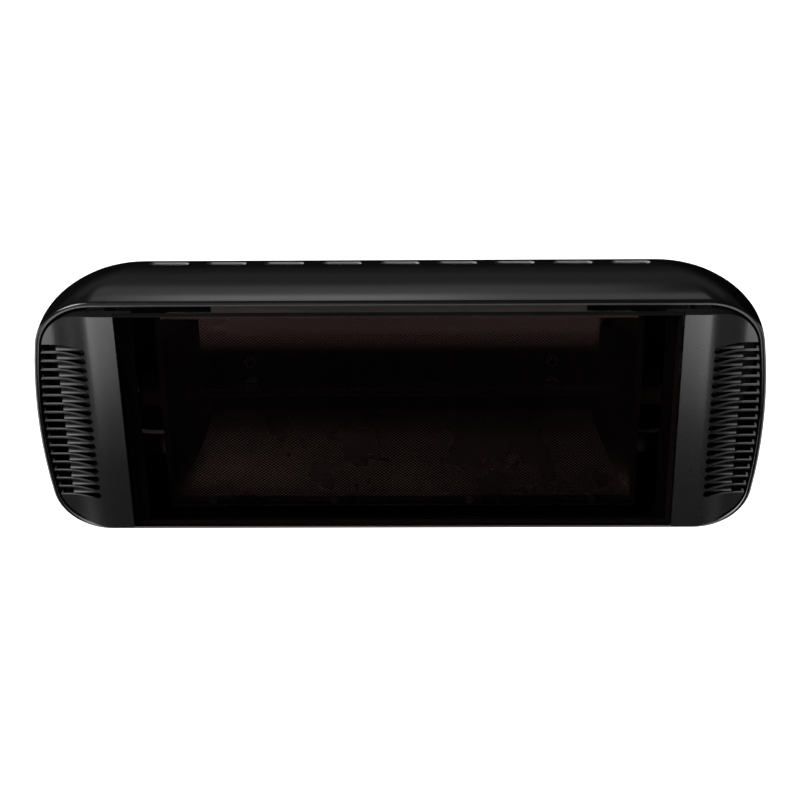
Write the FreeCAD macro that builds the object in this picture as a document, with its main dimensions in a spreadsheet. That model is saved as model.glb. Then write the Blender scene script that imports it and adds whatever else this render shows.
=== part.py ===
"""Wall-mounted infrared heater: a black lamp housing that tilts on a steel wall bracket.

Millimetres, +Z up. The heater faces -Y, and the wall is the plane y = 0.
The origin is the middle of the wall plate's back face.
"""
import FreeCAD, Part
import Sketcher
import math
import os
import re

V = FreeCAD.Vector
ORIGIN_POINT = (-1, 1)

# Driving sizes, in millimetres unless the name says count, angle or share
SIZES = {
    # Housing: a deep shell with a bowed rim, narrower in height at the back
    "rim_width": 520, "rim_height": 212.8, "rim_corner": 41, "rim_bow": 545,
    "housing_depth": 76, "rear_drop": 18.8, "rear_flare": 1.2, "rear_corner_share": 0.948, "rear_bow": 216,
    "wall_bulge": 6.5, "side_bulge": 1, "wall_count": 8,
    "rear_round": 10, "rim_round": 2.2, "rim_wall": 3, "rear_wall": 1.5,
    "rounding_count": 8,
    "vent_count": 9, "vent_end": 96.4, "vent_length_share": 0.687, "vent_width": 8.4, "vent_setback": 17.8,
    "vent_depth": 30,
    # Front glass, its gasket and its carrier frame
    "glass_side": 62.3, "glass_edge_gap": 7.5, "glass_thickness": 4, "glass_proud": 5.4, "glass_edge": 0.5,
    "gasket_inset": 0.6, "gasket_width": 3.6, "gasket_thickness": 1,
    "frame_bar": 5.4, "frame_side_bar": 28, "frame_overlap": 16, "frame_sheet": 1.5,
    # Side panels: pressed steel with an ogee step and a row of louvre slots
    "panel_gap": 0.3, "panel_proud": 0.5, "panel_rise": 3, "panel_sheet": 1.3,
    "panel_rim_gap": 4.7, "panel_corner": 34.5, "panel_bow": 540,
    "panel_flat": 12, "panel_edge_flat": 6.3, "panel_flange": 8.3, "grille_depth": 4.6, "grille_gap": 0.4,
    "louvre_count": 18, "louvre_end": 39.25, "louvre_bar": 1.1, "louvre_length": 35.3, "louvre_offset": -1.1,
    "boss_radius": 4.5, "boss_bore_depth": 2.6, "post_edge": 5.7, "post_inset": 44.4, "post_radius": 4,
    "spigot_radius": 2.5, "spigot_fit": 0.1,
    # Louvre comb: sloping slats behind the slots
    "comb_sheet": 1.5, "comb_reach": 20, "comb_neck": 8, "comb_inset": 10, "comb_margin": 3,
    "slat_length": 20, "slat_root": 2, "slat_depth": 3.6, "slat_lift": 2.1, "slat_thickness": 0.8,
    "slat_drop": 5.2, "slat_front_gap": 0.8,
    # Inner shield and what holds it off the back wall
    "shield_sheet": 1, "shield_standoff": 5.6, "shield_edge_gap": 1,
    "chassis_inset": 28, "chassis_z": 10, "spacer_radius": 6, "reflector_post_length": 9.1, "reflector_post_radius": 5,
    # Reflector trough, its end plates and the perforated guard
    "reflector_depth": 44, "reflector_edge": 22.4, "reflector_flat": 32, "reflector_sheet": 0.8,
    "reflector_lip": 10, "lip_inset": 6.6, "reflector_side": 27.7, "reflector_end_slant": 32,
    "end_sheet": 1, "end_gap": 0.2,
    "guard_sheet": 1, "guard_side_lap": 2, "guard_top_lap": 2.5, "guard_bottom_lap": 8, "guard_border": 6,
    "guard_columns_count": 24, "guard_rows_count": 12, "guard_hole_share": 0.36,
    "guard_rivet_inset": 30, "guard_rivet_inner_x": 50, "guard_rivet_rise": 3.4,
    # Lamp: quartz tube, filament, ceramic caps and the brackets that carry them
    "lamp_from_back": 22, "tube_radius": 5, "tube_wall": 1, "tube_overhang": 1, "tube_hole_radius": 6,
    "filament_radius": 1.2, "filament_end": 26, "support_count": 5, "support_sheet": 0.6, "support_fit": 0.05,
    "cap_length": 24, "cap_width": 16, "cap_height": 16, "cap_engagement": 7, "cap_fit": 0.1,
    "lamp_bracket_sheet": 1.2, "lamp_bracket_width": 20, "lamp_bracket_foot": 18, "lamp_bracket_overhang": 8,
    "bracket_rivet_z": 6, "lead_radius": 1.5, "lead_hole_radius": 2.5, "lead_reach": 26, "lead_gap": 6,
    # Terminal block, earth screw, cable inlet
    "terminal_length": 40, "terminal_height": 16, "terminal_depth": 15, "terminal_rise": 25.2, "terminal_pitch": 13,
    "earth_x": 40, "earth_z": -56, "earth_screw_length": 4,
    "gland_x": 84, "gland_z": -46, "gland_radius": 8, "gland_bore": 6.6, "gland_hex": 12.5, "gland_flange": 5,
    "gland_neck": 9, "gland_inside": 4.6, "gland_nut": 4, "gland_fit": 0.1,
    "gland_cap_radius": 11, "gland_cap_end": 3, "gland_cap_hole": 4.6, "gland_seal_bore": 4,
    "grommet_hole": 7, "grommet_lip": 2, "grommet_lip_sheet": 1, "grommet_bore": 4.5,
    # Tilt yoke on the housing and the wall bracket
    "pivot_to_wall": 50, "pivot_to_back": 16, "tilt_angle": 40, "tilt_slack_angle": 2,
    "yoke_width": 112, "yoke_height": 60, "yoke_sheet": 2.5, "yoke_ear": 24,
    "yoke_screw_x": 36, "yoke_screw_z": 20,
    "wall_sheet": 3, "wall_plate_height": 64, "wall_ear": 54, "wall_ear_round": 13.5, "wall_ear_neck": 15,
    "wall_hole_x": 80, "wall_hole_z": 40, "wall_hole_radius": 3.25,
    "pivot_radius": 4, "pivot_fit": 0.08, "friction_washer": 1.2, "slide_gap": 0.1, "washer_radius": 9,
    "washer_sheet": 1.6, "pivot_head": 5.3, "pivot_hex": 7.5, "pivot_nut": 6.5,
    "lock_radius": 3, "lock_fit": 0.3, "lock_from_pivot": 24, "lock_head": 4, "lock_hex": 5.8, "lock_nut": 5,
    "lock_washer_radius": 6.2,
    # Small fasteners
    "m4_radius": 2, "m4_head_radius": 4, "m4_head": 2.4, "m5_radius": 2.5, "m5_head_radius": 4.8, "m5_head": 3,
    "m5_nut": 4, "m5_hex": 4.6, "screw_fit": 0.1, "rivet_radius": 1.6, "rivet_head_radius": 3, "rivet_head": 0.9,
    "post_thread_depth": 14, "panel_screw_reach": 10, "nut_tip": 0.3, "overrun": 3,
}

# Worked-out places, each from the sizes above
PLACES = {
    "rear_width": "rim_width + 2 * rear_flare",
    "rear_height": "rim_height - 2 * rear_drop",
    "rear_corner": "rear_corner_share * rear_height / 2",
    "vent_pitch": "(rim_width - 2 * vent_end) / (vent_count - 1)",
    "vent_length": "vent_pitch * vent_length_share",
    "glass_width": "rim_width - 2 * glass_side",
    "glass_height": "rim_height - 2 * glass_edge_gap",
    "panel_width": "rim_width - 2 * panel_rim_gap",
    "panel_height": "glass_height",
    "louvre_pitch": "(rim_height - 2 * louvre_end) / (louvre_count - 1)",
    "reflector_mouth": "rim_height - 2 * reflector_edge",
    "reflector_mouth_length": "glass_width - 2 * reflector_side",
    "reflector_back_length": "reflector_mouth_length - 2 * reflector_end_slant",
    "lip_length": "reflector_back_length - 2 * lip_inset",
    "guard_length": "reflector_mouth_length + 2 * guard_side_lap",
    "tube_length": "reflector_mouth_length + 2 * tube_overhang",
    "filament_length": "tube_length - 2 * filament_end",
    "pivot_y": "-pivot_to_wall",
    "back_y": "pivot_y - pivot_to_back",
    "rim_y": "back_y - housing_depth",
    "rear_inner_y": "back_y - rear_wall",
    "glass_front_y": "rim_y - glass_proud",
    "glass_back_y": "glass_front_y + glass_thickness",
    "frame_front_y": "glass_back_y + gasket_thickness",
    "frame_back_y": "frame_front_y + frame_sheet",
    "glass_half_x": "glass_width / 2",
    "glass_half_z": "glass_height / 2",
    "frame_half_x": "glass_half_x + frame_overlap",
    "panel_inner_x": "glass_half_x + panel_gap",
    "panel_front_y": "glass_front_y - panel_proud",
    "panel_outer_y": "panel_front_y + panel_rise",
    "panel_back_y": "panel_outer_y + panel_flange",
    "panel_half_x": "panel_width / 2",
    "panel_half_z": "panel_height / 2",
    "panel_far_x": "panel_half_x + overrun",
    "ogee_start_x": "panel_inner_x + panel_flat",
    "ogee_end_x": "panel_half_x - panel_edge_flat",
    "ogee_length": "ogee_end_x - ogee_start_x",
    "ogee_radius": "(ogee_length ^ 2 + panel_rise ^ 2) / (4 * panel_rise)",
    "liner_front_y": "panel_front_y + panel_sheet",
    "liner_outer_y": "panel_outer_y + panel_sheet",
    "liner_back_y": "panel_back_y + overrun",
    "liner_inner_x": "panel_inner_x + panel_sheet",
    "liner_half_x": "panel_half_x - panel_sheet",
    "liner_half_z": "panel_half_z - panel_sheet",
    "liner_corner": "panel_corner - panel_sheet",
    "liner_bow": "panel_bow - panel_sheet",
    "grille_back_y": "panel_outer_y + grille_depth",
    "louvre_inner_x": "panel_half_x - louvre_length",
    "grille_inner_x": "comb_outer_x + grille_gap",
    "post_x": "frame_half_x - post_edge",
    "post_z": "rim_height / 2 - post_inset",
    "slot_half": "(louvre_pitch - louvre_bar) / 2",
    "slot_end_x": "louvre_inner_x + slot_half",
    "first_slot_z": "louvre_offset + (louvre_count - 1) * louvre_pitch / 2",
    "last_slot_z": "louvre_offset - (louvre_count - 1) * louvre_pitch / 2",
    "comb_outer_x": "louvre_inner_x + slat_root / 2",
    "comb_inner_x": "louvre_inner_x - comb_reach",
    "comb_half_height": "post_z - comb_inset",
    "comb_neck_x": "comb_outer_x - comb_neck",
    "comb_back_y": "frame_back_y + comb_sheet",
    "slat_front_y": "frame_back_y - slat_front_gap",
    "slat_rear_y": "slat_front_y + slat_depth",
    "slat_low_z": "first_slot_z + slot_half - slat_drop",
    "slat_high_z": "slat_low_z + slat_lift",
    "slat_low_top_z": "slat_low_z + slat_thickness",
    "slat_high_top_z": "slat_high_z + slat_thickness",
    "vent_y": "back_y - vent_setback",
    "vent_half": "vent_width / 2",
    "vent_left_x": "-(vent_count - 1) * vent_pitch / 2 - (vent_length - vent_width) / 2",
    "vent_right_x": "vent_left_x + vent_length - vent_width",
    "shield_back_y": "rear_inner_y - shield_standoff",
    "shield_front_y": "shield_back_y - shield_sheet",
    "shield_share": "(shield_back_y - rim_y) / housing_depth",
    "shield_inset": "rim_wall + (rear_wall - rim_wall) * shield_share + shield_edge_gap",
    "shield_half_x": "(rim_width + (rear_width - rim_width) * shield_share) / 2 - shield_inset",
    "shield_bulge": "4 * shield_share * (1 - shield_share) * wall_bulge",
    "shield_half_z": "(rim_height + (rear_height - rim_height) * shield_share) / 2 + shield_bulge - shield_inset",
    "shield_corner": "rim_corner + (rear_corner - rim_corner) * shield_share - shield_inset",
    "shield_bow": "rim_bow + (rear_bow - rim_bow) * shield_share - shield_inset",
    "trough_outer_y": "shield_front_y - reflector_post_length",
    "trough_inner_y": "trough_outer_y - reflector_sheet",
    "mouth_y": "trough_inner_y - reflector_depth",
    "guard_front_y": "mouth_y - guard_sheet",
    "guard_top": "mouth_half_z + guard_top_lap",
    "guard_bottom": "mouth_half_z + guard_bottom_lap",
    "guard_rivet_x": "mouth_half_x - guard_rivet_inset",
    "mouth_half_z": "reflector_mouth / 2",
    "flat_half_z": "reflector_flat / 2",
    "trough_radius": "(reflector_depth ^ 2 + (mouth_half_z - flat_half_z) ^ 2) / (2 * reflector_depth)",
    "trough_axis_y": "trough_inner_y - trough_radius",
    "back_half_x": "reflector_back_length / 2",
    "chassis_x": "back_half_x - chassis_inset",
    "mouth_half_x": "reflector_mouth_length / 2",
    "end_run": "(mouth_half_x - back_half_x) / reflector_depth",
    "end_front_y": "mouth_y - overrun",
    "end_front_x": "mouth_half_x + overrun * end_run",
    "end_rear_y": "trough_outer_y + overrun",
    "end_rear_x": "back_half_x - (reflector_sheet + overrun) * end_run",
    "end_front_out_x": "end_front_x + end_sheet",
    "end_rear_out_x": "end_rear_x + end_sheet",
    "trim_x": "mouth_half_x + 2 * overrun",
    "lamp_y": "trough_inner_y - lamp_from_back",
    "tube_half_x": "tube_length / 2",
    "cap_inner_x": "tube_half_x - cap_engagement",
    "cap_outer_x": "cap_inner_x + cap_length",
    "bracket_out_x": "cap_outer_x + lamp_bracket_sheet",
    "bracket_foot_x": "bracket_out_x + lamp_bracket_foot",
    "bracket_foot_y": "shield_front_y - lamp_bracket_sheet",
    "bracket_tip_y": "lamp_y - lamp_bracket_overhang",
    "bracket_rivet_x": "(bracket_out_x + bracket_foot_x) / 2",
    "lead_y": "shield_front_y - lead_gap",
    "terminal_z": "terminal_rise - rear_height / 2",
    "terminal_front_y": "shield_front_y - terminal_depth",
    "terminal_half_x": "terminal_length / 2",
    "yoke_half_x": "yoke_width / 2",
    "yoke_inner_x": "yoke_half_x - yoke_sheet",
    "yoke_back_y": "back_y + yoke_sheet",
    "lock_y": "pivot_y + lock_from_pivot",
    "ear_inner_x": "yoke_half_x + friction_washer + 2 * slide_gap",
    "ear_outer_x": "ear_inner_x + wall_sheet",
    "washer_x": "ear_outer_x + slide_gap",
    "head_x": "washer_x + washer_sheet",
    "plate_front_y": "-wall_sheet",
    "wall_ear_neck_y": "pivot_y + wall_ear_neck",
    "wall_ear_half": "wall_ear / 2",
}

doc = FreeCAD.newDocument("InfraredHeater")
sizes = doc.addObject("Spreadsheet::Sheet", "Sizes")
places = doc.addObject("Spreadsheet::Sheet", "Places")


def linked(text):
    """The expression with every size and place read from its sheet."""
    def cell(match):
        word = match.group(0)
        if word in SIZES:
            return "Sizes." + word
        if word in PLACES:
            return "Places." + word
        return word
    return re.sub(r"[a-z][a-z0-9_]*", cell, text)


for row, (name, value) in enumerate(SIZES.items(), 1):
    sizes.set("A%d" % row, name)
    sizes.set("B%d" % row, str(value))
    sizes.setAlias("B%d" % row, name)
for row, (name, text) in enumerate(PLACES.items(), 1):
    places.set("A%d" % row, name)
    places.set("B%d" % row, "=" + linked(text))
    places.setAlias("B%d" % row, name)
doc.recompute()


def size(name):
    """A size's or a place's present value."""
    return float(getattr(sizes if name in SIZES else places, name))


nodes = []


def node(shape_object, label):
    """Name a finished piece and put it on the list of pieces to write."""
    shape_object.Label = label
    nodes.append(shape_object)
    return shape_object


def box(name, x, y, z):
    """A block between a low and a high expression on each axis."""
    block = doc.addObject("Part::Box", name)
    for side, axis, (low, high) in (("Length", "x", x), ("Width", "y", y), ("Height", "z", z)):
        block.setExpression(side, linked("(%s) - (%s)" % (high, low)))
        block.setExpression("Placement.Base." + axis, linked(low))
    return block


TURNS = {
    "x": FreeCAD.Rotation(V(0, 1, 0), 90),
    "y": FreeCAD.Rotation(V(1, 0, 0), -90),
    "z": FreeCAD.Rotation(),
}


def along(solid, axis, centre, span):
    """Stand a cylinder or prism on its axis, from the low to the high expression of span."""
    solid.Placement = FreeCAD.Placement(V(), TURNS[axis])
    solid.setExpression("Height", linked("(%s) - (%s)" % (span[1], span[0])))
    others = [letter for letter in "xyz" if letter != axis]
    for letter, text in zip(others + [axis], list(centre) + [span[0]]):
        solid.setExpression("Placement.Base." + letter, linked(text))
    return solid


def rod(name, axis, centre, span, radius):
    """A cylinder along an axis."""
    solid = doc.addObject("Part::Cylinder", name)
    solid.setExpression("Radius", linked(radius))
    return along(solid, axis, centre, span)


def hexagon(name, axis, centre, span, circumradius):
    """A six-sided prism along an axis."""
    solid = doc.addObject("Part::Prism", name)
    solid.Polygon = 6
    solid.setExpression("Circumradius", linked(circumradius))
    return along(solid, axis, centre, span)


def joined(kind, name, shapes):
    """A fuse, common or compound of several objects."""
    whole = doc.addObject(kind, name)
    if kind == "Part::Compound":
        whole.Links = shapes
    else:
        whole.Shapes = shapes
    return whole


def fuse(name, *shapes):
    """One solid from several."""
    return joined("Part::MultiFuse", name, list(shapes))


def common(name, *shapes):
    """What several solids share."""
    return joined("Part::MultiCommon", name, list(shapes))


def group(name, shapes):
    """Like pieces kept apart in one node."""
    return joined("Part::Compound", name, list(shapes))


def cut(name, base, *tools):
    """The base less every tool."""
    result = doc.addObject("Part::Cut", name)
    result.Base = base
    result.Tool = tools[0] if len(tools) == 1 else fuse(name + "_tools", *tools)
    return result


def mirrored(name, source):
    """The same piece for the other end, mirrored in the plane x = 0."""
    twin = doc.addObject("Part::Mirroring", name)
    twin.Source = source
    twin.Normal = V(1, 0, 0)
    return twin


def body_with_sketch(name, role, offset="0"):
    """A new body with one sketch on an origin plane, moved along its normal by offset."""
    body = doc.addObject("PartDesign::Body", name)
    doc.recompute()
    sketch = body.newObject("Sketcher::SketchObject", name + "_sketch")
    plane = next(item for item in body.Origin.OriginFeatures if item.Role == role)
    sketch.AttachmentSupport = [(plane, "")]
    sketch.MapMode = "FlatFace"
    sketch.setExpression("AttachmentOffset.Base.z", linked(offset))
    return body, sketch


def hold(sketch, kind, points, value, text):
    """Add one dimension to a sketch and bind it."""
    index = sketch.addConstraint(Sketcher.Constraint(kind, *points, value))
    sketch.setExpression("Constraints[%d]" % index, linked(text))


def hold_point(sketch, point, axis, value, text):
    """Bind one coordinate of a point, measured from the origin."""
    kind = "DistanceX" if axis == "x" else "DistanceY"
    if value < 0:
        hold(sketch, kind, point + ORIGIN_POINT, -value, "-(%s)" % text)
    else:
        hold(sketch, kind, ORIGIN_POINT + point, value, text)


def signed(word):
    """A corner's coordinate as a value and an expression; a leading minus mirrors the place."""
    if word.startswith("-"):
        return -size(word[1:]), "-(%s)" % word[1:]
    return size(word), word


def polygon(sketch, corners):
    """A closed run of lines through corners that are named places."""
    points = [(signed(x), signed(y)) for x, y in corners]
    count = len(points)
    for i in range(count):
        (x0, _), (y0, _) = points[i]
        (x1, _), (y1, _) = points[(i + 1) % count]
        sketch.addGeometry(Part.LineSegment(V(x0, y0, 0), V(x1, y1, 0)), False)
    for i, ((x, x_text), (y, y_text)) in enumerate(points):
        sketch.addConstraint(Sketcher.Constraint("Coincident", (i - 1) % count, 2, i, 1))
        hold_point(sketch, (i, 1), "x", x, x_text)
        hold_point(sketch, (i, 1), "y", y, y_text)


def arc(x, y, radius, start, end):
    """A sketch arc, counterclockwise."""
    return Part.ArcOfCircle(Part.Circle(V(x, y, 0), V(0, 0, 1), radius), start, end)


def outline_corner(half_x, half_z, corner, bow):
    """Centre of the corner arc that is tangent to the flat top and to the bowed side, and its angle."""
    centre_z = half_z - corner
    side_x = half_x - bow
    centre_x = side_x + math.sqrt((bow - corner) ** 2 - centre_z ** 2)
    return centre_x, centre_z, math.atan2(centre_z, centre_x - side_x)


def bowed_outline(sketch, half_x, half_z, corner, bow):
    """Straight top and bottom, bowed sides and round corners, every joint tangent."""
    w, h, r, s = size(half_x), size(half_z), size(corner), size(bow)
    x, z, lean = outline_corner(w, h, r, s)
    quarter = math.pi / 2
    for item in (
        Part.LineSegment(V(x, h, 0), V(-x, h, 0)), arc(-x, z, r, quarter, math.pi - lean),
        arc(s - w, 0, s, math.pi - lean, math.pi + lean), arc(-x, -z, r, math.pi + lean, 3 * quarter),
        Part.LineSegment(V(-x, -h, 0), V(x, -h, 0)), arc(x, -z, r, 3 * quarter, 4 * quarter - lean),
        arc(w - s, 0, s, -lean, lean), arc(x, z, r, lean, quarter),
    ):
        sketch.addGeometry(item, False)
    for i in range(8):
        sketch.addConstraint(Sketcher.Constraint("Tangent", i, 2, (i + 1) % 8, 1))
    for i in (1, 3, 5, 7):
        hold(sketch, "Radius", (i,), r, corner)
    for i in (2, 6):
        hold(sketch, "Radius", (i,), s, bow)
        sketch.addConstraint(Sketcher.Constraint("PointOnObject", i, 3, -1))
    for i in (0, 4):
        sketch.addConstraint(Sketcher.Constraint("Horizontal", i))
    hold(sketch, "DistanceY", ORIGIN_POINT + (0, 1), h, half_z)
    hold(sketch, "DistanceY", (4, 1) + ORIGIN_POINT, h, half_z)
    hold(sketch, "DistanceX", (6, 3) + ORIGIN_POINT, s - w, "%s - %s" % (bow, half_x))
    hold(sketch, "DistanceX", ORIGIN_POINT + (2, 3), s - w, "%s - %s" % (bow, half_x))


def padded(body, sketch, length, both_ways=False):
    """Pad a body's sketch along its normal."""
    pad = body.newObject("PartDesign::Pad", body.Name + "_pad")
    pad.Profile = sketch
    pad.Midplane = both_ways
    pad.setExpression("Length", linked(length))
    return pad


def repeated(body, feature, role, count, pitch, down=False):
    """A row of a feature along one of the body's axes."""
    row = body.newObject("PartDesign::LinearPattern", body.Name + "_row")
    row.Originals = [feature]
    row.Direction = (next(item for item in body.Origin.OriginFeatures if item.Role == role), [""])
    row.Reversed = down
    row.setExpression("Occurrences", linked(count))
    row.setExpression("Length", linked("(%s - 1) * %s" % (count, pitch)))
    body.Tip = row
    return row


def screw(name, centre, head_y, tip_y, radius, head_radius, head):
    """A pan-head screw along Y, with its head behind head_y and its tip at tip_y."""
    return fuse(name,
                rod(name + "_head", "y", centre, (head_y, "%s + %s" % (head_y, head)), head_radius),
                rod(name + "_shank", "y", centre, (tip_y, head_y), radius))


def nut(name, axis, centre, span, circumradius, bore):
    """A hexagon nut with a plain bore."""
    overrun_span = ("%s - overrun" % span[0], "%s + overrun" % span[1])
    return cut(name, hexagon(name + "_hex", axis, centre, span, circumradius),
               rod(name + "_bore", axis, centre, overrun_span, bore))


def ring(name, axis, centre, span, radius, bore):
    """A washer, bush or spacer."""
    overrun_span = ("%s - overrun" % span[0], "%s + overrun" % span[1])
    return cut(name, rod(name + "_disc", axis, centre, span, radius),
               rod(name + "_bore", axis, centre, overrun_span, bore))


SIDES = (-1, 1)
CORNERS = [(sx, sz) for sx in SIDES for sz in SIDES]


def corner_centres(x, z):
    """Four places, mirrored about both middle planes, as expressions."""
    return [("%d * %s" % (sx, x), "%d * %s" % (sz, z)) for sx, sz in CORNERS]


def obround(sketch, left, right, mid, half):
    """A slot with round ends, given the two end centres, the middle line and half its width."""
    x0, x1, y, r = size(left), size(right), size(mid), size(half)
    quarter = math.pi / 2
    for item in (
        Part.LineSegment(V(x1, y + r, 0), V(x0, y + r, 0)), arc(x0, y, r, quarter, 3 * quarter),
        Part.LineSegment(V(x0, y - r, 0), V(x1, y - r, 0)), arc(x1, y, r, -quarter, quarter),
    ):
        sketch.addGeometry(item, False)
    for i in range(4):
        sketch.addConstraint(Sketcher.Constraint("Tangent", i, 2, (i + 1) % 4, 1))
    for i in (0, 2):
        sketch.addConstraint(Sketcher.Constraint("Horizontal", i))
    hold(sketch, "Radius", (1,), r, half)
    hold_point(sketch, (1, 3), "x", x0, left)
    hold_point(sketch, (1, 3), "y", y, mid)
    hold_point(sketch, (3, 3), "x", x1, right)


def both(span):
    """A span and its mirror image, as (name, span) for the right and the left end."""
    low, high = span
    return (("right", (low, high)), ("left", ("-(%s)" % high, "-(%s)" % low)))


# Housing: a pressed shell, rounded at the rim and at the back, with a wall that thins to the rear
def outline_wire(half_x, half_z, corner, bow, y):
    """The bowed outline as a wire in the plane y."""
    x, z, lean = outline_corner(half_x, half_z, corner, bow)
    quarter = math.pi / 2

    def bend(centre_x, centre_z, radius, start, end):
        angles = (start, (start + end) / 2, end)
        points = [V(centre_x + radius * math.cos(a), y, centre_z + radius * math.sin(a)) for a in angles]
        return Part.Arc(*points).toShape()

    return Part.Wire([
        bend(x, z, corner, lean, quarter),
        Part.makeLine(V(x, y, half_z), V(-x, y, half_z)),
        bend(-x, z, corner, quarter, 2 * quarter - lean),
        bend(bow - half_x, 0, bow, 2 * quarter - lean, 2 * quarter + lean),
        bend(-x, -z, corner, 2 * quarter + lean, 3 * quarter),
        Part.makeLine(V(-x, y, -half_z), V(x, y, -half_z)),
        bend(x, -z, corner, 3 * quarter, 4 * quarter - lean),
        bend(half_x - bow, 0, bow, -lean, lean),
    ])


def mix(first, last, share):
    """A value part of the way from first to last."""
    return first + (last - first) * share


def shell_section(depth, inset):
    """The housing's outline at a depth behind the rim, drawn in by inset. Its walls bulge most half way."""
    share = depth / size("housing_depth")
    bulge = 4 * share * (1 - share)
    return outline_wire(
        mix(size("rim_width"), size("rear_width"), share) / 2 + bulge * size("side_bulge") - inset,
        mix(size("rim_height"), size("rear_height"), share) / 2 + bulge * size("wall_bulge") - inset,
        mix(size("rim_corner"), size("rear_corner"), share) + bulge * size("side_bulge") - inset,
        mix(size("rim_bow"), size("rear_bow"), share) - inset,
        size("rim_y") + depth)


def rounding(radius):
    """Steps round a quarter circle: how far back and how far in."""
    steps = int(size("rounding_count"))
    angles = [i * math.pi / 2 / steps for i in range(steps + 1)]
    return [(radius * math.sin(a), radius * (1 - math.cos(a))) for a in angles]


def lofted(name, sections):
    """A solid through outlines, straight from one to the next."""
    solid = doc.addObject("Part::Feature", name)
    solid.Shape = Part.makeLoft(sections, True, True)
    return solid


rim_round = size("rim_round")
rear_start = size("housing_depth") - size("rear_round")
wall_depths = [mix(rim_round, rear_start, i / size("wall_count")) for i in range(1, int(size("wall_count")))]
housing_block = lofted("housing_block",
                       [shell_section(rim_round - back, inset) for back, inset in reversed(rounding(rim_round))]
                       + [shell_section(depth, 0) for depth in wall_depths]
                       + [shell_section(rear_start + back, inset) for back, inset in rounding(size("rear_round"))])


def cavity_section(depth, inset):
    """The inside of the housing at a depth, drawn in by its wall there and by inset."""
    return shell_section(depth, mix(size("rim_wall"), size("rear_wall"), depth / size("housing_depth")) + inset)


housing_cavity = lofted("housing_cavity",
                        [cavity_section(depth, 0) for depth in [-size("overrun")] + wall_depths]
                        + [cavity_section(rear_start + back, inset)
                           for back, inset in rounding(size("rear_round") - size("rear_wall"))])

vent_tool, vent_sketch = body_with_sketch("vent_tool", "XY_Plane", "rear_height / 2 - vent_depth")
obround(vent_sketch, "vent_left_x", "vent_right_x", "vent_y", "vent_half")
repeated(vent_tool, padded(vent_tool, vent_sketch, "2 * vent_depth"), "X_Axis", "vent_count", "vent_pitch")

POSTS = corner_centres("post_x", "post_z")
CHASSIS = corner_centres("chassis_x", "chassis_z")
YOKE_SCREWS = corner_centres("yoke_screw_x", "yoke_screw_z")
GLAND = ("gland_x", "gland_z")
REAR_WALL = ("rear_inner_y - overrun", "back_y + overrun")
rear_holes = [rod("post_hole_%d" % i, "y", at, REAR_WALL, "m4_radius + screw_fit") for i, at in enumerate(POSTS)]
rear_holes += [rod("wall_hole_%d" % i, "y", at, REAR_WALL, "m5_radius + screw_fit")
               for i, at in enumerate(CHASSIS + YOKE_SCREWS)]
rear_holes.append(rod("gland_hole", "y", GLAND, REAR_WALL, "gland_radius + gland_fit"))
node(cut("housing", housing_block, housing_cavity, vent_tool, *rear_holes), "rear_housing")

# Heat shield: a flat sheet across the back of the housing, behind the vents
shield_sheet, shield_sketch = body_with_sketch("shield_sheet_body", "XZ_Plane", "-shield_back_y")
bowed_outline(shield_sketch, "shield_half_x", "shield_half_z", "shield_corner", "shield_bow")
padded(shield_sheet, shield_sketch, "shield_sheet")
SHIELD = ("shield_front_y - overrun", "shield_back_y + overrun")
BRACKET_RIVETS = corner_centres("bracket_rivet_x", "bracket_rivet_z")
EARTH = ("earth_x", "earth_z")
shield_holes = [rod("shield_post_%d" % i, "y", at, SHIELD, "post_radius + screw_fit") for i, at in enumerate(POSTS)]
shield_holes += [rod("shield_bolt_%d" % i, "y", at, SHIELD, "m5_radius + screw_fit") for i, at in enumerate(CHASSIS)]
shield_holes += [rod("shield_rivet_%d" % i, "y", at, SHIELD, "rivet_radius + screw_fit")
                 for i, at in enumerate(BRACKET_RIVETS)]
shield_holes += [rod("shield_inlet", "y", GLAND, SHIELD, "grommet_hole"),
                 rod("shield_earth", "y", EARTH, SHIELD, "m4_radius + screw_fit")]
node(cut("shield", shield_sheet, *shield_holes), "heat_shield")

# Spacers behind the shield and posts in front of it, on the same four long screws
node(group("spacers", [ring("spacer_%d" % i, "y", at, ("shield_back_y", "rear_inner_y"), "spacer_radius",
                            "m5_radius + screw_fit") for i, at in enumerate(CHASSIS)]), "shield_spacers")
node(group("posts", [ring("reflector_post_%d" % i, "y", at, ("trough_outer_y", "shield_front_y"),
                          "reflector_post_radius", "m5_radius + screw_fit") for i, at in enumerate(CHASSIS)]),
     "reflector_posts")
node(group("long_screws", [screw("long_screw_%d" % i, at, "back_y", "trough_inner_y - m5_nut - nut_tip",
                                 "m5_radius", "m5_head_radius", "m5_head") for i, at in enumerate(CHASSIS)]),
     "chassis_screws")
node(group("long_nuts", [nut("long_nut_%d" % i, "y", at, ("trough_inner_y - m5_nut", "trough_inner_y"), "m5_hex",
                             "m5_radius + screw_fit") for i, at in enumerate(CHASSIS)]), "chassis_nuts")


# Reflector: a bent aluminium trough with a flat back, an upper and a lower lip and slanted ends
def trough_solid(name, grow, back):
    """The trough's section, grown by an expression, as a solid open to the front."""
    span = ("-trim_x", "trim_x")
    radius = "trough_radius + %s" % grow
    rolls = [rod("%s_roll_%d" % (name, i), "x", ("trough_axis_y", "%d * flat_half_z" % sz), span, radius)
             for i, sz in enumerate(SIDES)]
    web = box(name + "_web", span, ("mouth_y - overrun", back), ("-flat_half_z", "flat_half_z"))
    return fuse(name, web, *rolls)


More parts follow.
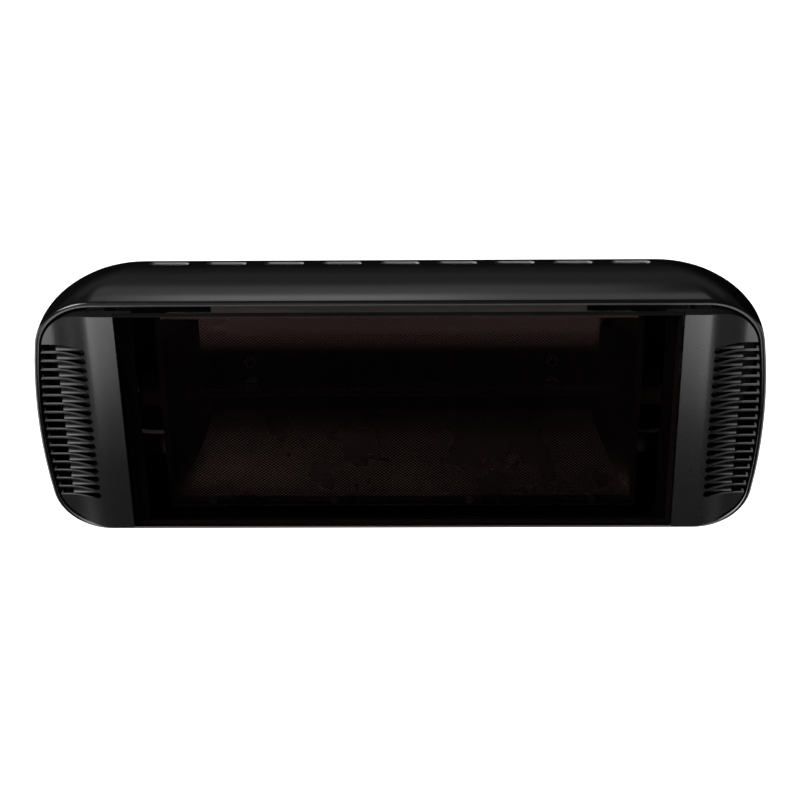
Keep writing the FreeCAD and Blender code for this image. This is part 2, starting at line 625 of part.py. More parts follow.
trough_outer = trough_solid("trough_outer", "reflector_sheet", "trough_outer_y")
trough_inner = trough_solid("trough_inner", "0", "trough_inner_y")
mouth_box = box("mouth_box", ("-trim_x", "trim_x"), ("mouth_y", "trough_outer_y + overrun"),
                ("-reflector_mouth", "reflector_mouth"))
trough_wall = common("trough_wall", cut("trough_skin", trough_outer, trough_inner), mouth_box)
LIP_Y = ("mouth_y", "mouth_y + reflector_sheet")
upper_lip = box("upper_lip", ("-lip_length / 2", "lip_length / 2"), LIP_Y,
                ("mouth_half_z", "mouth_half_z + reflector_lip"))
lower_lip = box("lower_lip", ("-mouth_half_x", "mouth_half_x"), LIP_Y,
                ("-mouth_half_z - reflector_lip", "-mouth_half_z"))
end_trim, end_trim_sketch = body_with_sketch("end_trim", "XY_Plane")
polygon(end_trim_sketch, [("end_front_out_x", "end_front_y"), ("trim_x", "end_front_y"),
                          ("trim_x", "end_rear_y"), ("end_rear_out_x", "end_rear_y")])
padded(end_trim, end_trim_sketch, "2 * reflector_mouth", both_ways=True)
GUARD_RIVETS = [("%d * %s" % (side, x), "-(mouth_half_z + guard_rivet_rise)")
                for side in SIDES for x in ("guard_rivet_x", "guard_rivet_inner_x")]
trough_holes = [rod("trough_bolt_%d" % i, "y", at, ("trough_inner_y - overrun", "trough_outer_y + overrun"),
                    "m5_radius + screw_fit") for i, at in enumerate(CHASSIS)]
trough_holes += [rod("lip_rivet_%d" % i, "y", at, ("mouth_y - overrun", "mouth_y + overrun"),
                     "rivet_radius + screw_fit") for i, at in enumerate(GUARD_RIVETS)]
node(cut("trough", fuse("trough_with_lips", trough_wall, upper_lip, lower_lip), end_trim,
         mirrored("end_trim_left", end_trim), *trough_holes), "reflector")

# End plates: slanted sheets that close the trough, with a hole for the lamp
end_strip, end_strip_sketch = body_with_sketch("end_strip", "XY_Plane")
polygon(end_strip_sketch, [("end_front_x", "end_front_y"), ("end_front_out_x", "end_front_y"),
                           ("end_rear_out_x", "end_rear_y"), ("end_rear_x", "end_rear_y")])
padded(end_strip, end_strip_sketch, "2 * reflector_mouth", both_ways=True)
end_space = common("end_space", trough_solid("end_core", "0 - end_gap", "trough_inner_y - end_gap"),
                   box("end_mouth", ("0", "trim_x"), ("mouth_y", "trough_outer_y"),
                       ("-reflector_mouth", "reflector_mouth")))
end_right = cut("end_right", common("end_blank", end_strip, end_space),
                rod("end_lamp_hole", "x", ("lamp_y", "0"), ("0", "trim_x"), "tube_hole_radius"))
node(end_right, "reflector_end_right")
node(mirrored("end_left", end_right), "reflector_end_left")

# Guard: one perforated sheet on the front of the trough's lips
half_length = size("guard_length") / 2
guard_y = size("guard_front_y")
top, bottom = size("guard_top"), -size("guard_bottom")
border = size("guard_border")
columns, rows = int(size("guard_columns_count")), int(size("guard_rows_count"))
pitch_x = 2 * (half_length - border) / columns
pitch_z = (top - bottom - 2 * border) / rows


def guard_ring(x, z, radius):
    """One round hole's edge."""
    return Part.Wire([Part.makeCircle(radius, V(x, guard_y, z), V(0, 1, 0))])


guard_wires = [Part.makePolygon([V(-half_length, guard_y, bottom), V(half_length, guard_y, bottom),
                                 V(half_length, guard_y, top), V(-half_length, guard_y, top),
                                 V(-half_length, guard_y, bottom)])]
for column in range(columns):
    for row in range(rows):
        guard_wires.append(guard_ring(border - half_length + (column + 0.5) * pitch_x,
                                      bottom + border + (row + 0.5) * pitch_z,
                                      size("guard_hole_share") * min(pitch_x, pitch_z)))
rivet_hole = size("rivet_radius") + size("screw_fit")
for side in SIDES:
    for name in ("guard_rivet_x", "guard_rivet_inner_x"):
        guard_wires.append(guard_ring(side * size(name), -size("mouth_half_z") - size("guard_rivet_rise"), rivet_hole))
guard = doc.addObject("Part::Feature", "guard")
guard.Shape = Part.makeFace(guard_wires, "Part::FaceMakerBullseye").extrude(V(0, size("guard_sheet"), 0))
node(guard, "guard_mesh")


def rivet(name, centre, front_y, back_y):
    """A rivet along Y that grips from front_y to back_y."""
    return fuse(name,
                rod(name + "_head", "y", centre, ("%s - rivet_head" % front_y, front_y), "rivet_head_radius"),
                rod(name + "_shank", "y", centre, (front_y, back_y), "rivet_radius"),
                rod(name + "_tail", "y", centre, (back_y, "%s + rivet_head" % back_y), "rivet_head_radius"))


node(group("lip_rivets", [rivet("guard_rivet_%d" % i, at, "guard_front_y", "mouth_y + reflector_sheet")
                          for i, at in enumerate(GUARD_RIVETS)]), "guard_rivets")

# Lamp: quartz tube with a filament on disc supports, in two ceramic caps
LAMP = ("lamp_y", "0")
TUBE = ("-tube_half_x", "tube_half_x")
TUBE_BORE = "tube_radius - tube_wall"
node(ring("tube", "x", LAMP, TUBE, "tube_radius", TUBE_BORE), "lamp_tube")
node(rod("filament", "x", LAMP, ("-filament_length / 2", "filament_length / 2"), "filament_radius"), "lamp_filament")
supports = []
for i in range(int(size("support_count"))):
    start = "-filament_length / 2 + %d * (filament_length - support_sheet) / (support_count - 1)" % i
    supports.append(ring("support_%d" % i, "x", LAMP, (start, start + " + support_sheet"),
                         TUBE_BORE + " - support_fit", "filament_radius + support_fit"))
node(group("supports", supports), "filament_supports")
cap_right = cut("cap_right",
                box("cap_block", ("cap_inner_x", "cap_outer_x"), ("lamp_y - cap_width / 2", "lamp_y + cap_width / 2"),
                    ("-cap_height / 2", "cap_height / 2")),
                rod("cap_bore", "x", LAMP, ("cap_inner_x - overrun", "tube_half_x"), "tube_radius + cap_fit"))
node(cap_right, "lamp_cap_right")
node(mirrored("cap_left", cap_right), "lamp_cap_left")

# Lamp brackets: bent steel, riveted to the shield, with a shelf under the cap
BRACKET_Z = ("-lamp_bracket_width / 2", "lamp_bracket_width / 2")
bracket_right = cut(
    "bracket_right",
    fuse("bracket_blank",
         box("bracket_leg", ("cap_outer_x", "bracket_out_x"), ("bracket_tip_y", "shield_front_y"), BRACKET_Z),
         box("bracket_foot", ("cap_outer_x", "bracket_foot_x"), ("bracket_foot_y", "shield_front_y"), BRACKET_Z),
         box("bracket_shelf", ("cap_inner_x + cap_length / 3", "bracket_out_x"),
             ("lamp_y - cap_width / 2", "lamp_y + cap_width / 2"),
             ("-cap_height / 2 - lamp_bracket_sheet", "-cap_height / 2"))),
    rod("bracket_lead_hole", "x", LAMP, ("cap_outer_x - overrun", "bracket_out_x + overrun"), "lead_hole_radius"),
    *[rod("bracket_rivet_hole_%d" % i, "y", ("bracket_rivet_x", "%d * bracket_rivet_z" % sz),
          ("bracket_foot_y - overrun", "shield_front_y + overrun"), "rivet_radius + screw_fit")
      for i, sz in enumerate(SIDES)])
node(bracket_right, "lamp_bracket_right")
node(mirrored("bracket_left", bracket_right), "lamp_bracket_left")
node(group("foot_rivets", [rivet("foot_rivet_%d" % i, at, "bracket_foot_y", "shield_back_y")
                           for i, at in enumerate(BRACKET_RIVETS)]), "bracket_rivets")


# Lamp leads: from each cap, out through its bracket and along the shield to the terminal block
def rounded_path(points):
    """Straight runs joined by tangent arcs, each as large as its shorter run allows."""
    edges = []
    start = points[0]
    for before, corner, after in zip(points, points[1:], points[2:]):
        way_in = (before - corner).normalize()
        way_out = (after - corner).normalize()
        reach = LEAD_CORNER_SHARE * min((before - corner).Length, (after - corner).Length)
        half_turn = (math.pi - way_in.getAngle(way_out)) / 2
        radius = reach / math.tan(half_turn)
        first, last = corner + way_in * reach, corner + way_out * reach
        inward = (way_in + way_out).normalize()
        middle = corner + inward * (radius / math.cos(half_turn) - radius)
        edges += [Part.makeLine(start, first), Part.Arc(first, middle, last).toShape()]
        start = last
        print("lead bend radius %.1f" % radius)
    edges.append(Part.makeLine(start, points[-1]))
    return Part.Wire(edges)


LEAD_CORNER_SHARE = 0.45
lead_out_x = size("cap_outer_x") + size("lead_reach")
lead_path = rounded_path([
    V(size("cap_outer_x"), size("lamp_y"), 0),
    V(lead_out_x, size("lamp_y"), 0),
    V(lead_out_x, size("lead_y"), size("terminal_z")),
    V(size("terminal_half_x"), size("lead_y"), size("terminal_z")),
])
lead_section = Part.Wire([Part.makeCircle(size("lead_radius"), V(size("cap_outer_x"), size("lamp_y"), 0), V(1, 0, 0))])
lead_right = doc.addObject("Part::Feature", "lead_right")
lead_right.Shape = lead_path.makePipeShell([lead_section], True, False)
lead_volume = math.pi * size("lead_radius") ** 2 * lead_path.Length
print("lead volume over section times length: %.4f" % (lead_right.Shape.Volume / lead_volume))
node(lead_right, "lamp_lead_right")
node(mirrored("lead_left", lead_right), "lamp_lead_left")

# Terminal block and its screws, and the earth screw, on the front of the shield
node(box("terminals", ("-terminal_half_x", "terminal_half_x"), ("terminal_front_y", "shield_front_y"),
         ("terminal_z - terminal_height / 2", "terminal_z + terminal_height / 2")), "terminal_block")
node(group("terminal_heads", [rod("terminal_head_%d" % i, "y", ("%d * terminal_pitch" % i, "terminal_z"),
                                  ("terminal_front_y - m4_head", "terminal_front_y"), "m4_head_radius")
                              for i in (-1, 0, 1)]), "terminal_screws")
node(fuse("earth", rod("earth_head", "y", EARTH, ("shield_front_y - m4_head", "shield_front_y"), "m4_head_radius"),
          rod("earth_shank", "y", EARTH, ("shield_front_y", "shield_front_y + earth_screw_length"), "m4_radius")),
     "earth_screw")

# Cable inlet: a gland in the back wall, with its nut inside, seal and cap, and a grommet in the shield
NECK = ("back_y", "back_y + gland_flange + gland_neck")
node(cut("gland", fuse("gland_blank",
                       hexagon("gland_flange_hex", "y", GLAND, ("back_y", "back_y + gland_flange"), "gland_hex"),
                       rod("gland_thread", "y", GLAND, ("rear_inner_y - gland_inside", "back_y"), "gland_radius"),
                       rod("gland_neck_rod", "y", GLAND, NECK, "gland_radius")),
         rod("gland_through", "y", GLAND, ("rear_inner_y - gland_inside - overrun", NECK[1] + " + overrun"),
             "gland_bore")), "gland_body")
node(nut("gland_lock", "y", GLAND, ("rear_inner_y - gland_nut", "rear_inner_y"), "gland_hex",
         "gland_radius + gland_fit"), "gland_nut")
node(cut("gland_dome", rod("gland_dome_rod", "y", GLAND, ("back_y + gland_flange", NECK[1] + " + gland_cap_end"),
                           "gland_cap_radius"),
         rod("gland_dome_thread", "y", GLAND, NECK, "gland_radius + gland_fit"),
         rod("gland_dome_hole", "y", GLAND, ("back_y", NECK[1] + " + gland_cap_end + overrun"), "gland_cap_hole")),
     "gland_cap")
node(ring("seal", "y", GLAND, ("back_y + gland_flange", NECK[1]), "gland_bore - gland_fit", "gland_seal_bore"),
     "gland_seal")
node(cut("grommet", fuse("grommet_blank",
                         rod("grommet_barrel", "y", GLAND, ("shield_front_y", "shield_back_y"),
                             "grommet_hole - gland_fit"),
                         rod("grommet_front", "y", GLAND, ("shield_front_y - grommet_lip_sheet", "shield_front_y"),
                             "grommet_hole + grommet_lip")),
         rod("grommet_through", "y", GLAND, SHIELD, "grommet_bore")), "shield_grommet")

# Glass, its gasket and the steel frame behind it, which leaves the top edge free for the air gap
glass, glass_sketch = body_with_sketch("glass", "XZ_Plane", "-glass_back_y")
polygon(glass_sketch, [("-glass_half_x", "-glass_half_z"), ("glass_half_x", "-glass_half_z"),
                       ("glass_half_x", "glass_half_z"), ("-glass_half_x", "glass_half_z")])
glass_pad = padded(glass, glass_sketch, "glass_thickness")
doc.recompute()
front_edges = ["Edge%d" % i for i, edge in enumerate(glass_pad.Shape.Edges, 1)
               if edge.CenterOfMass.y < size("glass_front_y") + size("glass_edge")]
glass_bevel = glass.newObject("PartDesign::Chamfer", "glass_bevel")
glass_bevel.Base = (glass_pad, front_edges)
glass_bevel.setExpression("Size", linked("glass_edge"))
node(glass, "front_glass")


def cradle(name, y, half_x, half_z, open_x, open_z):
    """A flat frame of two sides and a foot, open at the top."""
    outer = box(name + "_outer", ("-(%s)" % half_x, half_x), y, ("-(%s)" % half_z, half_z))
    inner = box(name + "_inner", ("-(%s)" % open_x, open_x), ("%s - overrun" % y[0], "%s + overrun" % y[1]),
                ("-(%s)" % open_z, "%s + overrun" % half_z))
    return cut(name, outer, inner)


node(cradle("gasket", ("glass_back_y", "frame_front_y"), "glass_half_x - gasket_inset", "glass_half_z - gasket_inset",
            "glass_half_x - gasket_inset - gasket_width", "glass_half_z - gasket_inset - gasket_width"), "glass_gasket")
frame_blank = cradle("frame_blank", ("frame_front_y", "frame_back_y"), "frame_half_x", "glass_half_z",
                     "frame_half_x - frame_side_bar", "glass_half_z - frame_bar")
frame_holes = [rod("frame_hole_%d" % i, "y", at, ("frame_front_y - overrun", "frame_back_y + overrun"),
                   "spigot_radius + spigot_fit") for i, at in enumerate(POSTS)]
node(cut("frame", frame_blank, *frame_holes), "glass_frame")

# Posts that clamp the frame and the side panels to the back wall, and their screws from behind
posts = []
for i, at in enumerate(POSTS):
    post = fuse("post_blank_%d" % i,
                rod("post_rod_%d" % i, "y", at, ("frame_back_y", "rear_inner_y"), "post_radius"),
                rod("post_spigot_%d" % i, "y", at, ("frame_front_y - boss_bore_depth", "frame_back_y"),
                    "spigot_radius"))
    posts.append(cut("post_%d" % i, post, rod("post_thread_%d" % i, "y", at,
                                              ("rear_inner_y - post_thread_depth", "rear_inner_y + overrun"),
                                              "m4_radius + screw_fit")))
node(group("panel_post_set", posts), "panel_posts")
node(group("panel_screw_set", [screw("panel_screw_%d" % i, at, "back_y", "rear_inner_y - panel_screw_reach",
                                     "m4_radius", "m4_head_radius", "m4_head") for i, at in enumerate(POSTS)]),
     "panel_screws")


# Side panels: pressed steel, flat beside the glass, an ogee step down to the edge, and a flange behind
def panel_prism(name, half_x, half_z, corner, bow):
    """The panels' outline, carried from behind the flange to in front of the glass."""
    body, sketch = body_with_sketch(name, "XZ_Plane", "-liner_back_y")
    bowed_outline(sketch, half_x, half_z, corner, bow)
    padded(body, sketch, "liner_back_y - panel_front_y + overrun")
    return body


def ogee_slab(name, inner_x, front_y, outer_y, back_y):
    """All that lies behind the ogee: two equal arcs between a front and a rear flat."""
    body, sketch = body_with_sketch(name, "XY_Plane")
    x0, x1, x2, x3 = size(inner_x), size("ogee_start_x"), size("ogee_end_x"), size("panel_far_x")
    front, outer, back = size(front_y), size(outer_y), size(back_y)
    radius = size("ogee_radius")
    bend = math.asin((x2 - x1) / 2 / radius)
    quarter = math.pi / 2
    for item in (
        Part.LineSegment(V(x0, front, 0), V(x1, front, 0)), arc(x1, front + radius, radius, -quarter, bend - quarter),
        arc(x2, outer - radius, radius, quarter, quarter + bend), Part.LineSegment(V(x2, outer, 0), V(x3, outer, 0)),
        Part.LineSegment(V(x3, outer, 0), V(x3, back, 0)), Part.LineSegment(V(x3, back, 0), V(x0, back, 0)),
        Part.LineSegment(V(x0, back, 0), V(x0, front, 0)),
    ):
        sketch.addGeometry(item, False)
    for pair in ((0, 2, 1, 1), (1, 2, 2, 2), (2, 1, 3, 1)):
        sketch.addConstraint(Sketcher.Constraint("Tangent", *pair))
    for first, second in ((3, 4), (4, 5), (5, 6), (6, 0)):
        sketch.addConstraint(Sketcher.Constraint("Coincident", first, 2, second, 1))
    for i, way in ((0, "Horizontal"), (3, "Horizontal"), (4, "Vertical"), (5, "Horizontal"), (6, "Vertical")):
        sketch.addConstraint(Sketcher.Constraint(way, i))
    sketch.addConstraint(Sketcher.Constraint("Equal", 1, 2))
    hold_point(sketch, (0, 1), "x", x0, inner_x)
    hold_point(sketch, (0, 1), "y", front, front_y)
    hold_point(sketch, (0, 2), "x", x1, "ogee_start_x")
    hold_point(sketch, (3, 1), "x", x2, "ogee_end_x")
    hold_point(sketch, (3, 1), "y", outer, outer_y)
    hold_point(sketch, (3, 2), "x", x3, "panel_far_x")
    hold_point(sketch, (5, 1), "y", back, back_y)
    padded(body, sketch, "panel_height + 2 * overrun", both_ways=True)
    return body


liner_prism = panel_prism("liner_prism", "liner_half_x", "liner_half_z", "liner_corner", "liner_bow")
panel_block = common("panel_block",
                     panel_prism("panel_prism", "panel_half_x", "panel_half_z", "panel_corner", "panel_bow"),
                     ogee_slab("panel_slab", "panel_inner_x", "panel_front_y", "panel_outer_y", "panel_back_y"))
panel_liner = common("panel_liner", liner_prism,
                     ogee_slab("liner_slab", "liner_inner_x", "liner_front_y", "liner_outer_y", "liner_back_y"))
slot_tool, slot_sketch = body_with_sketch("slot_tool", "XZ_Plane", "-liner_back_y")
obround(slot_sketch, "slot_end_x", "panel_far_x", "first_slot_z", "slot_half")
repeated(slot_tool, padded(slot_tool, slot_sketch, "liner_back_y - panel_front_y + overrun"), "Z_Axis",
         "louvre_count", "louvre_pitch", down=True)
grille = common("grille", panel_block,
                box("grille_room", ("grille_inner_x", "panel_far_x"), ("panel_front_y", "grille_back_y"),
                    ("last_slot_z - slot_half - louvre_bar", "first_slot_z + slot_half + louvre_bar")))
BOSSES = [("post_x", "%d * post_z" % sz) for sz in SIDES]
bosses = [rod("boss_%d" % i, "y", at, ("panel_front_y + panel_sheet / 2", "frame_front_y"), "boss_radius")
          for i, at in enumerate(BOSSES)]
boss_bores = [rod("boss_bore_%d" % i, "y", at, ("frame_front_y - boss_bore_depth", "frame_front_y + overrun"),
                  "spigot_radius + spigot_fit") for i, at in enumerate(BOSSES)]
frame_room = box("frame_room", ("panel_inner_x - overrun", "frame_half_x + overrun"),
                 ("frame_front_y", "panel_back_y + overrun"), ("-panel_height", "panel_height"))
panel_right = cut("panel_right",
                  fuse("panel_with_bosses",
                       cut("panel_skin", fuse("panel_with_grille", cut("panel_shell", panel_block, panel_liner), grille),
                           slot_tool), *bosses),
                  frame_room, *boss_bores)
node(panel_right, "right_side_panel")
node(mirrored("panel_left", panel_right), "left_side_panel")

# Louvre combs: a plate behind the frame with one sloping slat behind each slot
slats, slat_sketch = body_with_sketch("slats", "YZ_Plane", "comb_outer_x - slat_root")
polygon(slat_sketch, [("slat_front_y", "slat_low_z"), ("slat_rear_y", "slat_high_z"),
                      ("slat_rear_y", "slat_high_top_z"), ("slat_front_y", "slat_low_top_z")])
repeated(slats, padded(slats, slat_sketch, "slat_root + slat_length"), "Z_Axis", "louvre_count", "louvre_pitch",
         down=True)
COMB_Y = ("frame_back_y", "comb_back_y")
comb_right = fuse("comb_right",
                  box("comb_spine", ("comb_neck_x", "comb_outer_x"), COMB_Y,
                      ("last_slot_z - slot_half - comb_margin", "first_slot_z + slot_half + comb_margin")),
                  box("comb_flange", ("comb_inner_x", "comb_outer_x"), COMB_Y,
                      ("-comb_half_height", "comb_half_height")),
                  slats)
node(comb_right, "right_louvre_comb")
node(mirrored("comb_left", comb_right), "left_louvre_comb")

# Tilt yoke: a steel channel screwed to the back of the housing, with an ear at each end
ACROSS = ("-yoke_width", "yoke_width")
yoke_ears = []
for side, span in both(("yoke_inner_x", "yoke_half_x")):
    yoke_ears += [box("yoke_ear_%s" % side, span, ("back_y", "lock_y"), ("-yoke_ear / 2", "yoke_ear / 2")),
                  rod("yoke_tip_%s" % side, "x", ("lock_y", "0"), span, "yoke_ear / 2")]
yoke_holes = [rod("yoke_pivot", "x", ("pivot_y", "0"), ACROSS, "pivot_radius + pivot_fit"),
              rod("yoke_lock", "x", ("lock_y", "0"), ACROSS, "lock_radius + screw_fit")]
yoke_holes += [rod("yoke_hole_%d" % i, "y", at, ("back_y - overrun", "yoke_back_y + overrun"),
                   "m5_radius + screw_fit") for i, at in enumerate(YOKE_SCREWS)]
node(cut("yoke", fuse("yoke_blank", box("yoke_base", ("-yoke_half_x", "yoke_half_x"), ("back_y", "yoke_back_y"),
                                        ("-yoke_height / 2", "yoke_height / 2")), *yoke_ears), *yoke_holes),
     "tilt_yoke")
node(group("yoke_screw_set", [screw("yoke_screw_%d" % i, at, "yoke_back_y", "rear_inner_y - m5_nut - nut_tip",
                                    "m5_radius", "m5_head_radius", "m5_head") for i, at in enumerate(YOKE_SCREWS)]),
     "yoke_screws")
node(group("yoke_nut_set", [nut("yoke_nut_%d" % i, "y", at, ("rear_inner_y - m5_nut", "rear_inner_y"), "m5_hex",
                                "m5_radius + screw_fit") for i, at in enumerate(YOKE_SCREWS)]), "yoke_nuts")

# Wall bracket: a plate on the wall with two ears, each with a pivot hole and a curved slot for the lock bolt
ear, ear_sketch = body_with_sketch("wall_ear", "YZ_Plane", "ear_inner_x")
polygon(ear_sketch, [("plate_front_y", "wall_ear_half"), ("wall_ear_neck_y", "wall_ear_half"),
                     ("pivot_y", "wall_ear_round"), ("pivot_y", "-wall_ear_round"),
                     ("wall_ear_neck_y", "-wall_ear_half"), ("plate_front_y", "-wall_ear_half")])
padded(ear, ear_sketch, "wall_sheet")
EAR_X = ("ear_inner_x", "ear_outer_x")
EAR_CUT_X = ("ear_inner_x - overrun", "ear_outer_x + overrun")
PIVOT = ("pivot_y", "0")
swing = size("tilt_angle") + size("tilt_slack_angle")


def swing_sector(name, radius):
    """A sector about the pivot that faces the wall, as wide as the tilt each way."""
    sector = rod(name, "x", PIVOT, EAR_CUT_X, radius)
    sector.setExpression("Angle", linked("2 * (tilt_angle + tilt_slack_angle)"))
    faces_wall = FreeCAD.Rotation(V(1, 1, 1), 120)
    sector.Placement = FreeCAD.Placement(sector.Placement.Base, FreeCAD.Rotation(V(1, 0, 0), -swing) * faces_wall)
    return sector


slot_half_width = "(lock_radius + lock_fit)"
lock_slot = [cut("lock_slot", swing_sector("lock_slot_outer", "lock_from_pivot + " + slot_half_width),
                 swing_sector("lock_slot_inner", "lock_from_pivot - " + slot_half_width))]
for i, sign in enumerate(SIDES):
    turn = "%d * (tilt_angle + tilt_slack_angle)" % sign
    lock_slot.append(rod("lock_slot_end_%d" % i, "x", ("pivot_y + lock_from_pivot * cos(%s)" % turn,
                                                       "lock_from_pivot * sin(%s)" % turn), EAR_CUT_X,
                         slot_half_width))
wall_ear = cut("wall_ear_right", fuse("wall_ear_blank", ear, rod("wall_ear_tip", "x", PIVOT, EAR_X, "wall_ear_round")),
               rod("wall_ear_pivot", "x", PIVOT, EAR_CUT_X, "pivot_radius + pivot_fit"), *lock_slot)
wall_plate = cut("wall_plate", box("wall_plate_blank", ("-ear_outer_x", "ear_outer_x"), ("plate_front_y", "0"),
                                   ("-wall_plate_height / 2", "wall_plate_height / 2")),
                 *[rod("wall_screw_hole_%d" % i, "y", at, ("plate_front_y - overrun", "overrun"), "wall_hole_radius")
                   for i, at in enumerate(corner_centres("wall_hole_x / 2", "wall_hole_z / 2"))])
node(fuse("wall_mount", wall_plate, wall_ear, mirrored("wall_ear_left", wall_ear)), "wall_bracket")

# Pivot and lock bolts, with their washers and nuts, one of each at both ends
LOCK = ("lock_y", "0")


def both_ends(label, make):
    """A node with one piece at the right end and its mirror image at the left."""
    piece = make()
    node(group(label + "_set", [piece, mirrored(label + "_left", piece)]), label)


def bolt(name, centre, nut_length, radius, hex_radius, head):
    """A hexagon bolt along X through both ears, head outside."""
    return fuse(name, hexagon(name + "_head", "x", centre, ("head_x", "head_x + " + head), hex_radius),
                rod(name + "_shank", "x", centre, ("yoke_inner_x - " + nut_length, "head_x"), radius))


both_ends("pivot_bolts", lambda: bolt("pivot_bolt", PIVOT, "pivot_nut", "pivot_radius", "pivot_hex", "pivot_head"))
both_ends("lock_bolts", lambda: bolt("lock_bolt", LOCK, "lock_nut", "lock_radius", "lock_hex", "lock_head"))
both_ends("pivot_washers", lambda: ring("pivot_washer", "x", PIVOT, ("washer_x", "head_x"), "washer_radius",
                                        "pivot_radius + pivot_fit"))
both_ends("lock_washers", lambda: ring("lock_washer", "x", LOCK, ("washer_x", "head_x"), "lock_washer_radius",
                                       "lock_radius + pivot_fit"))
both_ends("friction_washers", lambda: ring("friction_washer_ring", "x", PIVOT,
                                           ("yoke_half_x", "yoke_half_x + friction_washer"), "washer_radius",
                                           "pivot_radius + pivot_fit"))
both_ends("pivot_nuts", lambda: nut("pivot_hex_nut", "x", PIVOT, ("yoke_inner_x - pivot_nut", "yoke_inner_x"),
                                    "pivot_hex", "pivot_radius + pivot_fit"))
both_ends("lock_nuts", lambda: nut("lock_hex_nut", "x", LOCK, ("yoke_inner_x - lock_nut", "yoke_inner_x"), "lock_hex",
                                   "lock_radius + pivot_fit"))

# Check every object, then write one file for each piece
doc.recompute()
failed = [item.Name for item in doc.Objects if "Invalid" in item.State or "Error" in item.State]
if failed:
    raise RuntimeError("failed objects: " + ", ".join(failed))
for piece in nodes:
    if piece.Shape.isNull() or not piece.Shape.isValid():
        raise RuntimeError("bad shape: " + piece.Label)
os.makedirs("parts", exist_ok=True)
for piece in nodes:
    piece.Shape.exportStep(os.path.join("parts", piece.Label + ".step"))
    print("%-20s %3d solids %12.1f mm3" % (piece.Label, len(piece.Shape.Solids), piece.Shape.Volume))
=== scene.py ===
"""Looks of a wall-mounted infrared heater: black housing, dark glass, louvred side panels, tilting bracket.

Metres, +Z up. The heater faces -Y and the wall is the plane y = 0.
"""
import math

import bmesh
import bpy
import numpy as np
from mathutils import Matrix, Vector


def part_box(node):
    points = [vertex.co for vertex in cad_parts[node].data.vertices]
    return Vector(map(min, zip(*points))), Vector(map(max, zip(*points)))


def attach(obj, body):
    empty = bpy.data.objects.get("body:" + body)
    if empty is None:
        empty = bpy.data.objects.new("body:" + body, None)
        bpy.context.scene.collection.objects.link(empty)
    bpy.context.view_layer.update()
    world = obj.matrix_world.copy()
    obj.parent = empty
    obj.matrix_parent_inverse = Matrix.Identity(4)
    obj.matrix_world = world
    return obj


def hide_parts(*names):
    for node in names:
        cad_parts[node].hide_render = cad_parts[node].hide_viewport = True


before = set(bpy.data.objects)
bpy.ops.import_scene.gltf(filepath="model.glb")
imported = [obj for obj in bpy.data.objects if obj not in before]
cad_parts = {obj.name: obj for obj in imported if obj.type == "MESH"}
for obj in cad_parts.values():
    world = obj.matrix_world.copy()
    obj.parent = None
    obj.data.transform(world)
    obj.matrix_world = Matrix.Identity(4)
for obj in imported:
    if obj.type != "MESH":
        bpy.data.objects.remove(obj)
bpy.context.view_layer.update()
MM = 0.001
CREASE = math.radians(30)


# Rear housing: the deep shell of sheet steel, with a rounded back and a bowed rim, powder coated satin black.
# Nine vent slots are punched in its top. It carries the heater's inside, and the tilt yoke is screwed to its back.
# A painted highlight runs pale along the lower rim's front and inner lip.
def noise_group(name, outputs):
    """A new shader group with Scale and Amount inputs and the named value outputs."""
    group = bpy.data.node_groups.new(name, "ShaderNodeTree")
    for label, start in (("Scale", 400.0), ("Amount", 0.1)):
        socket = group.interface.new_socket(label, in_out="INPUT", socket_type="NodeSocketFloat")
        socket.default_value = start
    for label in outputs:
        group.interface.new_socket(label, in_out="OUTPUT", socket_type="NodeSocketFloat")
    ends = group.nodes.new("NodeGroupInput"), group.nodes.new("NodeGroupOutput")
    return group, ends[0], ends[1]


def link(tree, *pairs):
    """Join output sockets to input sockets."""
    for start, end in pairs:
        tree.links.new(start, end)


def add(tree, kind, **settings):
    """A new node; each setting is one of its properties or, where it has none of that name, an input socket."""
    node = tree.nodes.new(kind)
    for name, value in settings.items():
        if hasattr(node, name):
            setattr(node, name, value)
        else:
            node.inputs[name.replace("_", " ").title()].default_value = value
    return node


def powder_grain_group():
    """The fine orange peel of a powder coat, as a height, and slow patches where it was handled, from 0 to 1."""
    group, start, end = noise_group("powder_grain", ("Height", "Patches"))
    where = add(group, "ShaderNodeTexCoord")
    peel = add(group, "ShaderNodeTexNoise", detail=2.0, roughness=0.5)
    slow = add(group, "ShaderNodeTexNoise", scale=9.0, detail=4.0, roughness=0.6)
    height = add(group, "ShaderNodeMath", operation="MULTIPLY")
    spread = add(group, "ShaderNodeMapRange")
    spread.inputs["From Min"].default_value = 0.35
    spread.inputs["From Max"].default_value = 0.65
    link(group, (where.outputs["Object"], peel.inputs["Vector"]), (start.outputs["Scale"], peel.inputs["Scale"]),
         (peel.outputs["Fac"], height.inputs[0]), (start.outputs["Amount"], height.inputs[1]),
         (height.outputs[0], end.inputs["Height"]), (where.outputs["Object"], slow.inputs["Vector"]),
         (slow.outputs["Fac"], spread.inputs["Value"]), (spread.outputs["Result"], end.inputs["Patches"]))
    return group


